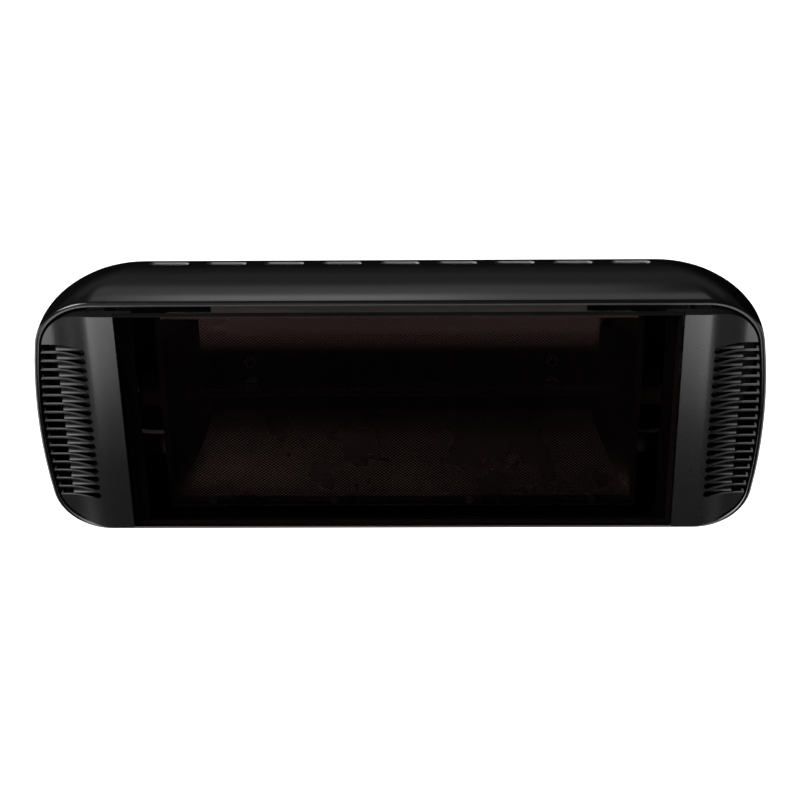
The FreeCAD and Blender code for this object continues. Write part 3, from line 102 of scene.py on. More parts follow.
def edge_rub_group():
    """How much an edge is rubbed, from 0 to 1: the mesh's pointiness, broken up by a noise."""
    group, start, end = noise_group("edge_rub", ("Rub",))
    where = add(group, "ShaderNodeTexCoord")
    speckle = add(group, "ShaderNodeTexNoise", detail=5.0, roughness=0.7)
    shape = add(group, "ShaderNodeNewGeometry")
    edge = add(group, "ShaderNodeMapRange")
    edge.inputs["From Min"].default_value = 0.52
    edge.inputs["From Max"].default_value = 0.62
    broken = add(group, "ShaderNodeMath", operation="MULTIPLY")
    amount = add(group, "ShaderNodeMath", operation="MULTIPLY", use_clamp=True)
    link(group, (where.outputs["Object"], speckle.inputs["Vector"]),
         (start.outputs["Scale"], speckle.inputs["Scale"]),
         (shape.outputs["Pointiness"], edge.inputs["Value"]), (edge.outputs["Result"], broken.inputs[0]),
         (speckle.outputs["Fac"], broken.inputs[1]), (broken.outputs[0], amount.inputs[0]),
         (start.outputs["Amount"], amount.inputs[1]), (amount.outputs[0], end.inputs["Rub"]))
    return group


POWDER_GRAIN = powder_grain_group()
EDGE_RUB = edge_rub_group()
RUB_SCALE = 500.0
RUB_AMOUNT = 0.8
PEEL_STRENGTH = 0.12
PEEL_HEIGHT = 0.00012
MERGE_DISTANCE = 2e-6


def surface(name, metallic=0.0, specular=0.5):
    """A new material with its node tree and its Principled shader."""
    material = bpy.data.materials.new(name)
    material.use_nodes = True
    shader = material.node_tree.nodes["Principled BSDF"]
    shader.inputs["Metallic"].default_value = metallic
    shader.inputs["Specular IOR Level"].default_value = specular
    return material, material.node_tree, shader


def placed(tree, group, scale, amount):
    """A shared effect, placed in a material with its own scale and amount."""
    node = add(tree, "ShaderNodeGroup", node_tree=group)
    node.inputs["Scale"].default_value = scale
    node.inputs["Amount"].default_value = amount
    return node


def ramp(tree, factor, low, high):
    """A value that runs from low to high as factor goes from 0 to 1."""
    node = add(tree, "ShaderNodeMapRange")
    node.inputs["To Min"].default_value = low
    node.inputs["To Max"].default_value = high
    link(tree, (factor, node.inputs["Value"]))
    return node.outputs["Result"]


def shade(tree, factor, first, second):
    """A colour that runs from first to second as factor goes from 0 to 1."""
    node = add(tree, "ShaderNodeMix", data_type="RGBA")
    for socket in node.inputs:
        if socket.type == "RGBA" and socket.name == "A":
            socket.default_value = (*first, 1.0)
        if socket.type == "RGBA" and socket.name == "B":
            socket.default_value = (*second, 1.0)
    link(tree, (factor, node.inputs["Factor"]))
    return [socket for socket in node.outputs if socket.type == "RGBA"][0]


def bumped(tree, shader, height, strength, distance):
    """Feed a height to the shader's normal."""
    bump = add(tree, "ShaderNodeBump")
    bump.inputs["Strength"].default_value = strength
    bump.inputs["Distance"].default_value = distance
    link(tree, (height, bump.inputs["Height"]), (bump.outputs["Normal"], shader.inputs["Normal"]))


def powder_coat(name, colour, rubbed, roughness, specular=0.5, peel=900.0):
    """Powder coat: orange peel, handled patches that are a little shinier, and edges rubbed paler."""
    material, tree, shader = surface(name, specular=specular)
    grain = placed(tree, POWDER_GRAIN, peel, 1.0)
    rub = placed(tree, EDGE_RUB, RUB_SCALE, RUB_AMOUNT)
    link(tree, (shade(tree, rub.outputs["Rub"], colour, rubbed), shader.inputs["Base Color"]),
         (ramp(tree, grain.outputs["Patches"], *roughness), shader.inputs["Roughness"]))
    bumped(tree, shader, grain.outputs["Height"], PEEL_STRENGTH, PEEL_HEIGHT)
    return material


def merged_copy(node, smooth_angle, edge=0.0):
    """A copy of a CAD piece with its corners merged and, where edge is given, small rounds on its edges.

    Edges sharper than smooth_angle stay crisp in the shading, and the rest are shaded smooth.
    """
    mesh = bpy.data.meshes.new(node + "_finished")
    form = bmesh.new()
    form.from_mesh(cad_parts[node].data)
    bmesh.ops.remove_doubles(form, verts=form.verts, dist=MERGE_DISTANCE)
    for face in form.faces:
        face.smooth = True
    for line in form.edges:
        line.smooth = len(line.link_faces) == 2 and line.calc_face_angle(0.0) < smooth_angle
    form.to_mesh(mesh)
    form.free()
    piece = bpy.data.objects.new(node + "_finished", mesh)
    bpy.context.scene.collection.objects.link(piece)
    if edge:
        bevel = piece.modifiers.new("edge_round", "BEVEL")
        bevel.width = edge
        bevel.segments = 2
        bevel.limit_method = "ANGLE"
        bevel.angle_limit = smooth_angle
        bevel.harden_normals = True
    return piece


def stands_for(piece, node, body, material):
    """Give a piece its material and body, and show it in place of a CAD node."""
    piece.data.materials.clear()
    piece.data.materials.append(material)
    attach(piece, body)
    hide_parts(node)
    return piece


def bare_metal(name, colour, roughness, grain_scale=700.0, metallic=1.0):
    """Bare metal with slow patches in its gloss and a fine grain."""
    material, tree, shader = surface(name, metallic=metallic)
    grain = placed(tree, POWDER_GRAIN, grain_scale, 1.0)
    dull = tuple(channel * 0.82 for channel in colour)
    link(tree, (shade(tree, grain.outputs["Patches"], dull, colour), shader.inputs["Base Color"]),
         (ramp(tree, grain.outputs["Patches"], *roughness), shader.inputs["Roughness"]))
    bumped(tree, shader, grain.outputs["Height"], 0.08, 0.0001)
    return material


def face_arrays(piece):
    """The middles and normals of a piece's faces, as arrays."""
    count = len(piece.data.polygons)
    middles, normals = np.zeros(count * 3), np.zeros(count * 3)
    piece.data.polygons.foreach_get("center", middles)
    piece.data.polygons.foreach_get("normal", normals)
    return middles.reshape(-1, 3), normals.reshape(-1, 3)


def give_faces(piece, material, chosen):
    """Give the chosen faces of a piece one more material."""
    piece.data.materials.append(material)
    slots = np.zeros(len(chosen), np.int32)
    piece.data.polygons.foreach_get("material_index", slots)
    slots[chosen] = len(piece.data.materials) - 1
    piece.data.polygons.foreach_set("material_index", slots)


def blend_painted_light(material, colour, output, axis, low, high):
    """Blend a colour of painted light or shade into a material as a coordinate's size goes from low to high.

    The coordinate is one axis of an output of the Texture Coordinate node, such as Normal or Object.
    """
    tree = material.node_tree
    shader = tree.nodes["Principled BSDF"]
    under = shader.inputs["Base Color"].links[0].from_socket
    where = add(tree, "ShaderNodeTexCoord")
    split = add(tree, "ShaderNodeSeparateXYZ")
    amount = add(tree, "ShaderNodeMath", operation="ABSOLUTE")
    painted_light_mask = add(tree, "ShaderNodeMapRange")
    painted_light_mask.inputs["From Min"].default_value = low
    painted_light_mask.inputs["From Max"].default_value = high
    mixed = shade(tree, painted_light_mask.outputs["Result"], colour, colour)
    first = [socket for socket in mixed.node.inputs if socket.type == "RGBA"][0]
    link(tree, (where.outputs[output], split.inputs[0]), (split.outputs[axis], amount.inputs[0]),
         (amount.outputs[0], painted_light_mask.inputs["Value"]), (under, first), (mixed, shader.inputs["Base Color"]))
    return material


VENT_REACH = 0.19
VENT_BOTTOM = 0.085
VENT_FROM_BACK = 0.011, 0.026
RIM_DEPTH = 0.3 * MM
LIP_REAR_Y = -0.13
RIM_HIGHLIGHT_Z = 0.095, 0.1
LIP_HIGHLIGHT_Y = 0.1402, 0.1412
HOUSING_PAINT = (0.0028, 0.0028, 0.003), (0.006, 0.006, 0.0062), (0.17, 0.21)
housing_black = powder_coat("satin_black_powder_coat", *HOUSING_PAINT)
# Painted highlight: the lower rim's front face and its inner lip are painted pale where light catches the rounded
# edge.
painted_highlight_rim = blend_painted_light(powder_coat("painted_highlight_rim_paint", *HOUSING_PAINT), (0.2, 0.2, 0.197), "Object", "Z", *RIM_HIGHLIGHT_Z)
painted_highlight_lip = blend_painted_light(powder_coat("painted_highlight_lip_paint", *HOUSING_PAINT), (0.4, 0.4, 0.395), "Object", "Y", *LIP_HIGHLIGHT_Y)
bare_steel = bare_metal("galvanised_steel", (0.42, 0.42, 0.41), (0.4, 0.55), 500.0, 0.2)
housing = stands_for(merged_copy("rear_housing", CREASE), "rear_housing", "heater", housing_black)
middles, normals = face_arrays(housing)
in_vent = (middles[:, 2] > VENT_BOTTOM) & (abs(middles[:, 0]) < VENT_REACH) & (abs(normals[:, 2]) < 0.5)
from_back = middles[:, 1].max() - middles[:, 1]
in_vent &= (from_back > VENT_FROM_BACK[0]) & (from_back < VENT_FROM_BACK[1])
give_faces(housing, bare_steel, in_vent)
below = middles[:, 2] < 0.0
on_rim = (normals[:, 1] < -0.97) & (middles[:, 1] < middles[:, 1].min() + RIM_DEPTH)
give_faces(housing, painted_highlight_rim, on_rim & below)
inward = -(normals * middles)[:, ::2].sum(1) / np.hypot(middles[:, 0], middles[:, 2])
give_faces(housing, painted_highlight_lip, (inward > 0.5) & (middles[:, 1] < LIP_REAR_Y) & below)


# Side panels: pressed steel skins beside the glass, with an ogee step and a row of louvre slots, painted black.
# Each is clamped through two bosses by the long posts that run to the back wall.
def press_deeper(piece):
    """Set a panel's louvred part further back, and thin its louvre bars to the sheet.

    The set-back is PRESS_EXTRA times a smooth step of the distance from the heater's middle. The points behind
    the bars are put BAR_DEPTH behind the front, which is read from the panel's forward faces.
    """
    form = bmesh.new()
    form.from_mesh(piece.data)
    columns = np.linspace(PRESS_START, PRESS_END, PRESS_COLUMNS)
    for column in (*columns, *-columns):
        bmesh.ops.bisect_plane(form, geom=form.verts[:] + form.edges[:] + form.faces[:], dist=1e-6,
                               plane_co=(column, 0.0, 0.0), plane_no=(1.0, 0.0, 0.0))
    form.to_mesh(piece.data)
    form.free()
    place = np.zeros(len(piece.data.vertices) * 3)
    piece.data.vertices.foreach_get("co", place)
    place = place.reshape(-1, 3)
    middles, normals = face_arrays(piece)
    forward = middles[normals[:, 1] < -0.9]
    order = np.argsort(abs(forward[:, 0]))
    front = np.interp(abs(place[:, 0]), abs(forward[order, 0]), forward[order, 1])
    step = np.clip((abs(place[:, 0]) - PRESS_START) / (PRESS_END - PRESS_START), 0.0, 1.0)
    set_back = PRESS_EXTRA * step ** 2 * (3.0 - 2.0 * step)
    behind_bars = (abs(place[:, 1] - BARS_BACK_Y) < BACK_SLACK) & (abs(place[:, 0]) > BARS_START)
    in_front = place[:, 1] < FRONT_SHEET_Y
    place[:, 1] = np.where(in_front, place[:, 1] + set_back, place[:, 1])
    place[:, 1] = np.where(behind_bars, front + set_back + BAR_DEPTH, place[:, 1])
    piece.data.vertices.foreach_set("co", place.ravel())
    piece.data.update()


PRESS_START = 214 * MM
PRESS_END = 243 * MM
PRESS_EXTRA = 3.9 * MM
PRESS_COLUMNS = 12
BAR_DEPTH = 1.3 * MM
BARS_START = PRESS_START - 4 * MM
BARS_BACK_Y = -140.3 * MM
BACK_SLACK = 0.1 * MM
FRONT_SHEET_Y = BARS_BACK_Y - 1.5 * MM
PANEL_PAINT = (0.006, 0.006, 0.0062), (0.012, 0.012, 0.0122), (0.25, 0.29), 0.8, 1400.0
PANEL_EDGE = 0.3 * MM
LOUVRE_HALF_HEIGHT = 0.075
BAR_LIGHT_X = 0.224, 0.244
panel_black = powder_coat("panel_black_paint", *PANEL_PAINT)
# Painted highlight on the louvre bars' upper faces, pale toward the panel's outer edge and dark as painted shade
# toward the inner ends.
louvre_painted_light = blend_painted_light(powder_coat("louvre_painted_light_paint", *PANEL_PAINT), (0.15, 0.15, 0.148),
                     "Object", "X", *BAR_LIGHT_X)
for side in ("left", "right"):
    panel_node = side + "_side_panel"
    panel = stands_for(merged_copy(panel_node, CREASE, PANEL_EDGE), panel_node, "heater", panel_black)
    press_deeper(panel)
    middles, normals = face_arrays(panel)
    give_faces(panel, louvre_painted_light, (normals[:, 2] > 0.5) & (abs(middles[:, 2]) < LOUVRE_HALF_HEIGHT))

# Louvre combs: sheet steel strips behind the panels, with a sloping slat in each slot, painted black.
# A painted highlight lies on the front of each slat's upper side, and the back of that side is painted dark as
# shade.
SLAT_HIGHLIGHT_UPWARD = 0.5, 0.8
SLAT_SHADE_Y = 0.1411, 0.1404
COMB_PAINT = (0.006, 0.006, 0.006), (0.03, 0.03, 0.03), (0.32, 0.4), 0.5, 1400.0
comb_black = powder_coat("comb_black_paint", *COMB_PAINT)
# Painted highlight on the slats' upward faces, then painted shade over the back of those faces.
comb_black = blend_painted_light(comb_black, (0.13, 0.13, 0.128), "Normal", "Z", *SLAT_HIGHLIGHT_UPWARD)
comb_black = blend_painted_light(comb_black, (0.008, 0.008, 0.008), "Object", "Y", *SLAT_SHADE_Y)


def paint(material, *names):
    """Give CAD pieces their material."""
    for name in names:
        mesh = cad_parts[name].data
        mesh.materials.clear()
        mesh.materials.append(material)


paint(comb_black, "left_louvre_comb", "right_louvre_comb")


# Front glass: a dark red-brown glass ceramic plate with ground edges.
# It is bedded on a rubber gasket in a steel frame.
def dark_glass():
    """Tinted glass, with a trace of smears in its gloss, that lets tinted light of the lamps through."""
    material, tree, shader = surface("dark_glass_ceramic", specular=0.25)
    shader.inputs["Base Color"].default_value = (0.25, 0.195, 0.193, 1.0)
    shader.inputs["Transmission Weight"].default_value = 1.0
    shader.inputs["IOR"].default_value = 1.5
    smears = placed(tree, POWDER_GRAIN, 30.0, 1.0)
    seen = add(tree, "ShaderNodeLightPath")
    clear = add(tree, "ShaderNodeBsdfTransparent")
    clear.inputs["Color"].default_value = (0.64, 0.6, 0.59, 1.0)
    either = add(tree, "ShaderNodeMixShader")
    link(tree, (ramp(tree, smears.outputs["Patches"], 0.01, 0.04), shader.inputs["Roughness"]),
         (seen.outputs["Is Shadow Ray"], either.inputs["Fac"]), (shader.outputs[0], either.inputs[1]),
         (clear.outputs[0], either.inputs[2]),
         (either.outputs[0], tree.nodes["Material Output"].inputs["Surface"]))
    return material


def ground_glass():
    """The ground edge of the glass: dull and nearly black."""
    material, tree, shader = surface("ground_glass_edge", specular=0.06)
    grain = placed(tree, POWDER_GRAIN, 1200.0, 1.0)
    link(tree, (shade(tree, grain.outputs["Patches"], (0.003, 0.0025, 0.0025), (0.005, 0.0045, 0.0044)),
                shader.inputs["Base Color"]),
         (ramp(tree, grain.outputs["Patches"], 0.6, 0.75), shader.inputs["Roughness"]))
    return material


glass = stands_for(merged_copy("front_glass", CREASE), "front_glass", "heater", dark_glass())
middles, normals = face_arrays(glass)
give_faces(glass, ground_glass(), abs(normals[:, 1]) < 0.9)


def rubber(name, colour):
    """Dull rubber with a fine skin."""
    material, tree, shader = surface(name, specular=0.3)
    grain = placed(tree, POWDER_GRAIN, 1500.0, 1.0)
    pale = tuple(min(1.0, channel * 1.6) for channel in colour)
    link(tree, (shade(tree, grain.outputs["Patches"], colour, pale), shader.inputs["Base Color"]),
         (ramp(tree, grain.outputs["Patches"], 0.7, 0.85), shader.inputs["Roughness"]))
    bumped(tree, shader, grain.outputs["Height"], 0.2, 0.0001)
    return material


paint(rubber("black_rubber", (0.02, 0.02, 0.02)), "glass_gasket", "gland_seal", "shield_grommet")
frame_black = powder_coat("frame_matt_black", (0.004, 0.004, 0.004), (0.008, 0.008, 0.008), (0.6, 0.7), 0.2)
paint(frame_black, "glass_frame")


# Guard: one sheet of dull steel pierced with fine diamonds, riveted to the reflector's lower lip.
# A painted pool of light lies on its upper part, where light through the air gap above the glass falls.
def diamond_sheet(low, high, pitch, row, share, border):
    """A pierced sheet in the plane y = low y: diamond cells in rows, each row half a pitch along from the last.

    Each cell's four corners are joined to four corners of an opening, which is the cell scaled by share.
    A plain frame of eight quads lies behind the cells as the border.
    """
    rows = int((high[2] - low[2] - 2 * border) / row) - 1
    columns = int((high[0] - low[0] - 2 * border) / pitch) - 1
    place, column = np.meshgrid(np.arange(rows), np.arange(columns), indexing="ij")
    centre_x = (column + 0.5 * (place % 2) - (columns - 0.5) / 2).ravel() * pitch
    centre_z = (place - (rows - 1) / 2).ravel() * row + (low[2] + high[2]) / 2
    corners = np.array([(pitch / 2, 0.0), (0.0, row), (-pitch / 2, 0.0), (0.0, -row)])
    flat = np.stack([centre_x, centre_z], -1)[:, None] + np.concatenate([corners, corners * share])[None]
    points = np.stack([flat[..., 0], np.full(flat.shape[:2], low[1]), flat[..., 1]], -1).reshape(-1, 3)
    turn = np.arange(4)
    quads = np.stack([turn, (turn + 1) % 4, (turn + 1) % 4 + 4, turn + 4], -1)
    faces = (np.arange(rows * columns)[:, None, None] * 8 + quads[None]).reshape(-1, 4)
    shared, index = np.unique(points.round(7), axis=0, return_inverse=True)
    faces = index.reshape(-1)[faces]
    edge_x, edge_z = columns * pitch / 2, (rows - 1) * row / 2
    x = np.array([low[0], -edge_x, edge_x, high[0]])
    z = np.array([low[2], (low[2] + high[2]) / 2 - edge_z, (low[2] + high[2]) / 2 + edge_z, high[2]])
    grid_x, grid_z = np.meshgrid(x, z, indexing="ij")
    strip = np.stack([grid_x, np.full((4, 4), low[1] + BORDER_BEHIND), grid_z], -1).reshape(-1, 3)
    first, second = np.meshgrid(np.arange(3), np.arange(3), indexing="ij")
    kept = ~((first == 1) & (second == 1))
    start = (first * 4 + second)[kept] + len(shared)
    strips = np.stack([start, start + 4, start + 5, start + 1], -1)
    return np.concatenate([shared, strip]), np.concatenate([faces, strips])


def mesh_piece(name, points, faces, smooth=True):
    """A new object from arrays of points and faces."""
    mesh = bpy.data.meshes.new(name)
    mesh.from_pydata(points.tolist(), [], faces.tolist())
    mesh.polygons.foreach_set("use_smooth", np.full(len(mesh.polygons), smooth))
    mesh.update()
    piece = bpy.data.objects.new(name, mesh)
    bpy.context.scene.collection.objects.link(piece)
    return piece


GUARD_PITCH = 3.04 * MM
GUARD_ROW = 1.35 * MM
GUARD_OPEN_SHARE = 0.64
GUARD_BORDER = 2 * MM
BORDER_BEHIND = 0.3 * MM
GUARD_LIGHT_REACH = 141 * MM
GUARD_LIGHT_Z = 0.054, 0.076
GUARD_STEEL = (0.008, 0.0072, 0.007), (0.5, 0.6), 700.0, 0.2
guard_steel = bare_metal("dull_steel", *GUARD_STEEL)
# Painted light: the guard's upper part is pale where light through the air gap above the glass would fall.
guard_painted_light = blend_painted_light(bare_metal("painted_light_dull_steel", *GUARD_STEEL), (0.42, 0.36, 0.355),
                     "Object", "Z", *GUARD_LIGHT_Z)
guard_sheet = diamond_sheet(*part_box("guard_mesh"), GUARD_PITCH, GUARD_ROW, GUARD_OPEN_SHARE, GUARD_BORDER)
guard = mesh_piece("pierced_guard", *guard_sheet, smooth=False)
stands_for(guard, "guard_mesh", "heater", guard_steel)
middles, _ = face_arrays(guard)
give_faces(guard, guard_painted_light, (abs(middles[:, 0]) < GUARD_LIGHT_REACH) & (middles[:, 2] > 0.0))

# Reflector: a trough of bright rolled aluminium with slanted end plates, held off the shield on four posts.
# It is painted dark as shade in a band at the lamp's height, and bright above and below it.
MOUTH_TOP = 84.2 * MM
SHADE_DARK = (0.012, 0.011, 0.01)
BRIGHT_Z = 0.034, 0.056
END_BRIGHT_Z = 0.056, 0.08
# Painted shade: the trough is dark in a band at the lamp's height and bright aluminium above and below it.
shade_darkened_aluminium = blend_painted_light(bare_metal("shade_darkened_aluminium", SHADE_DARK, (0.25, 0.35), 300.0),
                           (0.82, 0.78, 0.74), "Object", "Z", *BRIGHT_Z)
# The lip above the trough's mouth is dulled and darkened as painted shade.
dulled_shade_darkened_aluminium = bare_metal("dulled_shade_darkened_aluminium", (0.15, 0.147, 0.138), (0.4, 0.5), 300.0, 0.5)
reflector = stands_for(merged_copy("reflector", CREASE), "reflector", "heater", shade_darkened_aluminium)
middles, _ = face_arrays(reflector)
give_faces(reflector, dulled_shade_darkened_aluminium, middles[:, 2] > MOUTH_TOP)
# Painted shade: the end plates are dark except toward their upper and lower edges.
end_aluminium = blend_painted_light(bare_metal("shade_darkened_end_aluminium", SHADE_DARK, (0.4, 0.5), 300.0),
                       (0.3, 0.285, 0.27), "Object", "Z", *END_BRIGHT_Z)
paint(end_aluminium, "reflector_end_left", "reflector_end_right")

# Heat shield: a flat sheet of aluminised steel across the back of the housing, seen through the vents.
# It is painted dark as shade, except along its long edges away from its ends.
SHIELD_PALE_Z = 0.07, 0.084
SHIELD_SHADE_X = 0.178, 0.184
# Painted shade: the shield is dark, pale along its long edges where the vents show it, and dark again toward its
# ends.
shield_steel = bare_metal("shade_darkened_steel", SHADE_DARK, (0.5, 0.6), 500.0, 0.2)
shield_steel = blend_painted_light(shield_steel, (0.6, 0.6, 0.59), "Object", "Z", *SHIELD_PALE_Z)
shield_steel = blend_painted_light(shield_steel, SHADE_DARK, "Object", "X", *SHIELD_SHADE_X)
paint(shield_steel, "heat_shield")


# Lamp: a quartz tube with a coiled tungsten filament on disc supports.
# It ends in two ceramic caps, darkened as painted shade, and the terminal block is of the same ceramic.
def quartz():
    """Clear fused quartz, faintly clouded."""
    material, tree, shader = surface("fused_quartz")
    shader.inputs["Base Color"].default_value = (0.95, 0.93, 0.92, 1.0)
    shader.inputs["Transmission Weight"].default_value = 1.0
    shader.inputs["IOR"].default_value = 1.46
    cloud = placed(tree, POWDER_GRAIN, 60.0, 1.0)
    link(tree, (ramp(tree, cloud.outputs["Patches"], 0.02, 0.08), shader.inputs["Roughness"]))
    return material


def ceramic(name, colour):
    """Unglazed ceramic with a fine bisque grain."""
    material, tree, shader = surface(name, specular=0.3)
    grain = placed(tree, POWDER_GRAIN, 2200.0, 1.0)
    stained = (colour[0] * 0.86, colour[1] * 0.82, colour[2] * 0.76)
    link(tree, (shade(tree, grain.outputs["Patches"], stained, colour), shader.inputs["Base Color"]),
         (ramp(tree, grain.outputs["Patches"], 0.55, 0.75), shader.inputs["Roughness"]))
    bumped(tree, shader, grain.outputs["Height"], 0.25, 0.0001)
    return material


def coil(length, radius, wire, turns, centre, per_turn=10, sides=5):
    """A helix of wire along X: a circle of points carried round the axis as it moves along."""
    step = np.linspace(0, 1, turns * per_turn + 1)
    turn = step * turns * 2 * math.pi
    spine = np.stack([(step - 0.5) * length, np.cos(turn) * radius, np.sin(turn) * radius], -1)
    out = np.stack([np.zeros_like(turn), np.cos(turn), np.sin(turn)], -1)
    along = np.gradient(spine, axis=0)
    along /= np.linalg.norm(along, axis=1, keepdims=True)
    across = np.cross(along, out)
    around = np.arange(sides) * 2 * math.pi / sides
    tube = spine[:, None] + wire * (np.cos(around)[None, :, None] * out[:, None]
                                    + np.sin(around)[None, :, None] * across[:, None])
    points = tube.reshape(-1, 3) + np.array(centre)
    ring, side = np.meshgrid(np.arange(len(step) - 1), np.arange(sides), indexing="ij")
    after = (side + 1) % sides
    faces = np.stack([ring * sides + side, ring * sides + after, (ring + 1) * sides + after,
                      (ring + 1) * sides + side], -1)
    return points, faces.reshape(-1, 4)


tungsten = bare_metal("drawn_tungsten", (0.3, 0.28, 0.27), (0.3, 0.45))
filament_low, filament_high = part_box("lamp_filament")
filament_radius = (filament_high[2] - filament_low[2]) / 2
WIRE = 0.3 * MM
FILAMENT_TURNS = 150
filament_coil = coil(filament_high[0] - filament_low[0] - 2 * WIRE, filament_radius - WIRE, WIRE, FILAMENT_TURNS,
                     (filament_low + filament_high) / 2)
stands_for(mesh_piece("coiled_filament", *filament_coil), "lamp_filament", "heater", tungsten)
# Painted shade: the ceramic is darkened far below its white, as shade.
shade_darkened_ceramic = ceramic("shade_darkened_ceramic", (0.12, 0.112, 0.1))
paint(quartz(), "lamp_tube")
paint(tungsten, "filament_supports")
paint(shade_darkened_ceramic, "lamp_cap_left", "lamp_cap_right", "terminal_block")

# Lamp leads: copper strands in a pale silicone sleeve.
# They run from the caps to the terminal block.
paint(rubber("silicone_sleeve", (0.55, 0.53, 0.48)), "lamp_lead_left", "lamp_lead_right")

# Fasteners: zinc-plated screws, nuts, rivets, posts and spacers, and one brass earth screw.
# The lamp brackets, their rivets and the long chassis screws are painted near black as shade over their whole
# length.
zinc_plate = bare_metal("zinc_plate", (0.55, 0.55, 0.54), (0.28, 0.42), 900.0)
paint(zinc_plate, "shield_spacers", "reflector_posts", "chassis_nuts", "guard_rivets",
      "panel_posts", "panel_screws", "yoke_screws", "yoke_nuts", "pivot_bolts", "pivot_nuts", "pivot_washers",
      "lock_bolts", "lock_nuts", "lock_washers", "terminal_screws")
# Painted shade: these pieces are darkened nearly black as shade.
paint(bare_metal("shade_darkened_zinc_plate", (0.006, 0.0055, 0.005), (0.5, 0.6), 900.0), "bracket_rivets",
      "chassis_screws", "lamp_bracket_left", "lamp_bracket_right")
paint(bare_metal("plain_brass", (0.72, 0.52, 0.25), (0.25, 0.4)), "earth_screw")


# Cable gland: moulded black nylon body, nut and cap, in the back wall.
# The bracket's friction washers of pressed fibre have the same grain.
def nylon(name, colour):
    """Moulded nylon: a fine spark-eroded texture."""
    material, tree, shader = surface(name, specular=0.4)
    grain = placed(tree, POWDER_GRAIN, 1800.0, 1.0)
    pale = tuple(channel * 1.5 for channel in colour)
    link(tree, (shade(tree, grain.outputs["Patches"], colour, pale), shader.inputs["Base Color"]),
         (ramp(tree, grain.outputs["Patches"], 0.45, 0.58), shader.inputs["Roughness"]))
    bumped(tree, shader, grain.outputs["Height"], 0.2, 0.00012)
    return material


paint(nylon("black_nylon", (0.014, 0.014, 0.014)), "gland_body", "gland_nut", "gland_cap")
paint(nylon("pressed_fibre", (0.05, 0.047, 0.044)), "friction_washers")

# Wall bracket and tilt yoke: folded sheet steel, powder coated black.
# They are joined by two pivot bolts and two lock bolts.
BRACKET_EDGE = 0.4 * MM
bracket_black = powder_coat("bracket_powder_coat", (0.014, 0.014, 0.0145), (0.1, 0.1, 0.1), (0.38, 0.46))
stands_for(merged_copy("wall_bracket", CREASE, BRACKET_EDGE), "wall_bracket", "wall_mount", bracket_black)
stands_for(merged_copy("tilt_yoke", CREASE, BRACKET_EDGE), "tilt_yoke", "heater", bracket_black)


# Studio: a plain pale floor well below the heater, and soft lamps.
# Two dark cards, which the camera doesn't see, stand in front for the glass to mirror and behind for the top wall.
def sheet_on_stage(name, corners, material):
    """A flat rectangle through four corners, which isn't part of the heater."""
    piece = mesh_piece(name, np.array(corners, float), np.array([[0, 1, 2, 3]]), smooth=False)
    piece.data.materials.append(material)
    return piece


def studio_floor():
    """A pale floor that takes shadows, brightened to white where the camera, a mirror or glass sees it."""
    material, tree, shader = surface("pale_floor", specular=0.0)
    shader.inputs["Base Color"].default_value = (0.88, 0.88, 0.88, 1.0)
    shader.inputs["Roughness"].default_value = 1.0
    seen = add(tree, "ShaderNodeLightPath")
    strength = add(tree, "ShaderNodeMath", operation="MULTIPLY")
    strength.inputs[1].default_value = FLOOR_LIFT
    direct = add(tree, "ShaderNodeMath", operation="MAXIMUM")
    any_view = add(tree, "ShaderNodeMath", operation="MAXIMUM")
    link(tree, (seen.outputs["Is Camera Ray"], direct.inputs[0]),
         (seen.outputs["Is Glossy Ray"], direct.inputs[1]), (direct.outputs[0], any_view.inputs[0]),
         (seen.outputs["Is Transmission Ray"], any_view.inputs[1]),
         (any_view.outputs[0], strength.inputs[0]), (strength.outputs[0], shader.inputs["Emission Strength"]))
    shader.inputs["Emission Color"].default_value = (1.0, 1.0, 1.0, 1.0)
    return material


FLOOR_Z = -1.1
FLOOR_HALF = 9.0
FLOOR_LIFT = 1.0
sheet_on_stage("floor", [(-FLOOR_HALF, -FLOOR_HALF, FLOOR_Z), (FLOOR_HALF, -FLOOR_HALF, FLOOR_Z),
                         (FLOOR_HALF, FLOOR_HALF, FLOOR_Z), (-FLOOR_HALF, FLOOR_HALF, FLOOR_Z)], studio_floor())
card_black, _, card_shader = surface("black_card", specular=0.0)
card_shader.inputs["Base Color"].default_value = (0.004, 0.004, 0.004, 1.0)
# Each card has a name, half its width, its y, its top and its foot.
FRONT_CARD = "front_card", 0.75, -0.45, -0.11, -0.75
REAR_CARD = "rear_card", 1.5, 0.6, 0.1, -1.0
for card_name, half, card_y, top, foot in (FRONT_CARD, REAR_CARD):
    card = sheet_on_stage(card_name, [(-half, card_y, top), (half, card_y, top), (half, card_y, foot),
                                      (-half, card_y, foot)], card_black)
    card.visible_camera = False
    card.visible_shadow = False
    card.visible_diffuse = False


def softbox(name, place, aim, wide, high, power):
    """A rectangular soft lamp at a place, turned to face its aim."""
    lamp = bpy.data.lights.new(name, "AREA")
    lamp.shape = "RECTANGLE"
    lamp.size = wide
    lamp.size_y = high
    lamp.energy = power
    rig = bpy.data.objects.new(name, lamp)
    way = Vector(aim) - Vector(place)
    rig.matrix_world = Matrix.Translation(place) @ way.to_track_quat("-Z", "Y").to_matrix().to_4x4()
    rig.visible_camera = False
    bpy.context.scene.collection.objects.link(rig)


STRIP_Y = -0.445
STRIP_Z = -0.14
STRIP_SIZE = 0.1, 0.13
WORLD_STRENGTH = 0.04
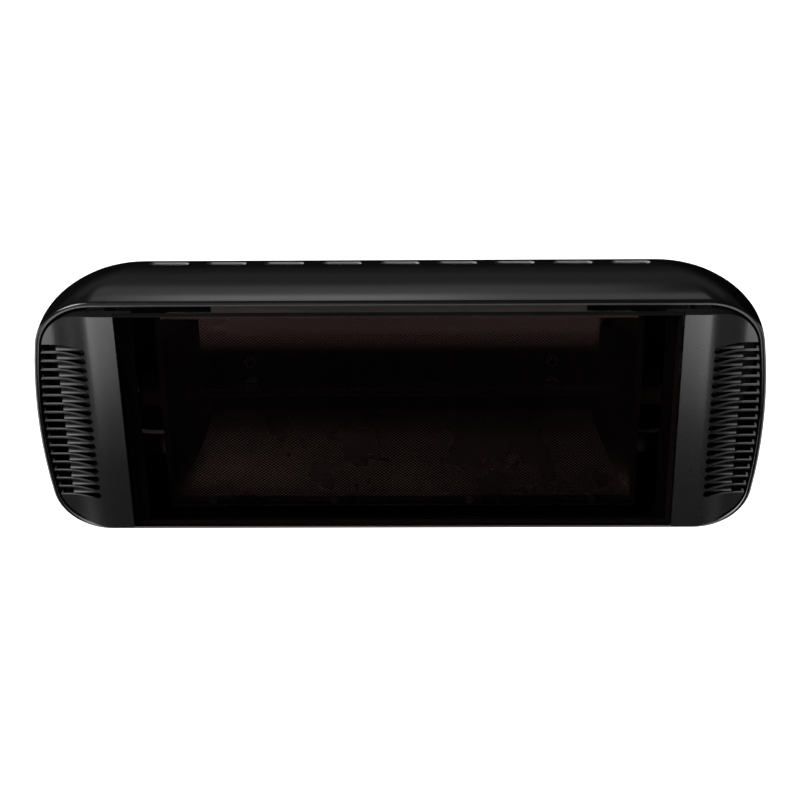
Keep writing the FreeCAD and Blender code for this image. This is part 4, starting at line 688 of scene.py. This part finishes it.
# Each lamp has a name, a place, an aim, a width, a height and a power in watts.
softbox("key_softbox", (-2.6, -1.6, 3.0), (0.0, -0.1, 0.0), 2.4, 2.4, 240.0)
softbox("front_softbox", (-0.7, -2.6, 1.1), (0.0, -0.1, 0.0), 1.4, 1.6, 4.5)
softbox("rear_softbox", (0.0, 0.821, 1.074), (0.0, -0.1, 0.1), 0.9, 0.28, 0.75)
softbox("rear_left_softbox", (-0.14, 0.787, 1.038), (-0.14, -0.1, 0.1), 0.42, 0.24, 0.42)
softbox("rear_middle_softbox", (-0.1, 0.98, 0.82), (-0.1, -0.1, 0.1), 0.8, 0.24, 0.3)
softbox("rear_low_softbox", (0.0, 1.1, 0.5), (0.0, -0.1, 0.1), 1.6, 0.4, 0.15)
for place_x, power in ((-0.3, 0.12), (0.282, 0.11)):
    softbox("panel_strip", (place_x, STRIP_Y, STRIP_Z), (place_x, 0.0, STRIP_Z), *STRIP_SIZE, power)

world = bpy.data.worlds.new("studio_world")
world.use_nodes = True
backdrop = world.node_tree.nodes["Background"]
backdrop.inputs["Color"].default_value = (1.0, 1.0, 1.0, 1.0)
backdrop.inputs["Strength"].default_value = WORLD_STRENGTH
bpy.context.scene.world = world

# Camera: above and in front, turned and rolled as the photograph was taken.
# Its values come from a fit to the outline, the glass corners and the rim.
ELEVATION = math.radians(40.0)
AZIMUTH = math.radians(1.36)
ROLL = math.radians(-1.06)
DISTANCE = 1.8854
TARGET = Vector((0.0, -0.142, 0.01846))
FOCAL_PIXELS = 2649.7
IMAGE_PIXELS = 800
backward = Vector((math.sin(AZIMUTH) * math.cos(ELEVATION), -math.cos(AZIMUTH) * math.cos(ELEVATION),
                   math.sin(ELEVATION)))
level_right = (-backward).cross(Vector((0, 0, 1))).normalized()
level_up = level_right.cross(-backward)
right = level_right * math.cos(ROLL) + level_up * math.sin(ROLL)
up = level_up * math.cos(ROLL) - level_right * math.sin(ROLL)
camera = bpy.data.objects.new("camera", bpy.data.cameras.new("camera"))
camera.data.sensor_fit = "HORIZONTAL"
camera.data.sensor_width = 36.0
camera.data.lens = FOCAL_PIXELS * camera.data.sensor_width / IMAGE_PIXELS
turn = Matrix((right, up, backward)).transposed().to_4x4()
camera.matrix_world = Matrix.Translation(TARGET + backward * DISTANCE) @ turn
bpy.context.scene.collection.objects.link(camera)
bpy.context.scene.camera = camera
bpy.context.scene.view_settings.view_transform = "Standard"
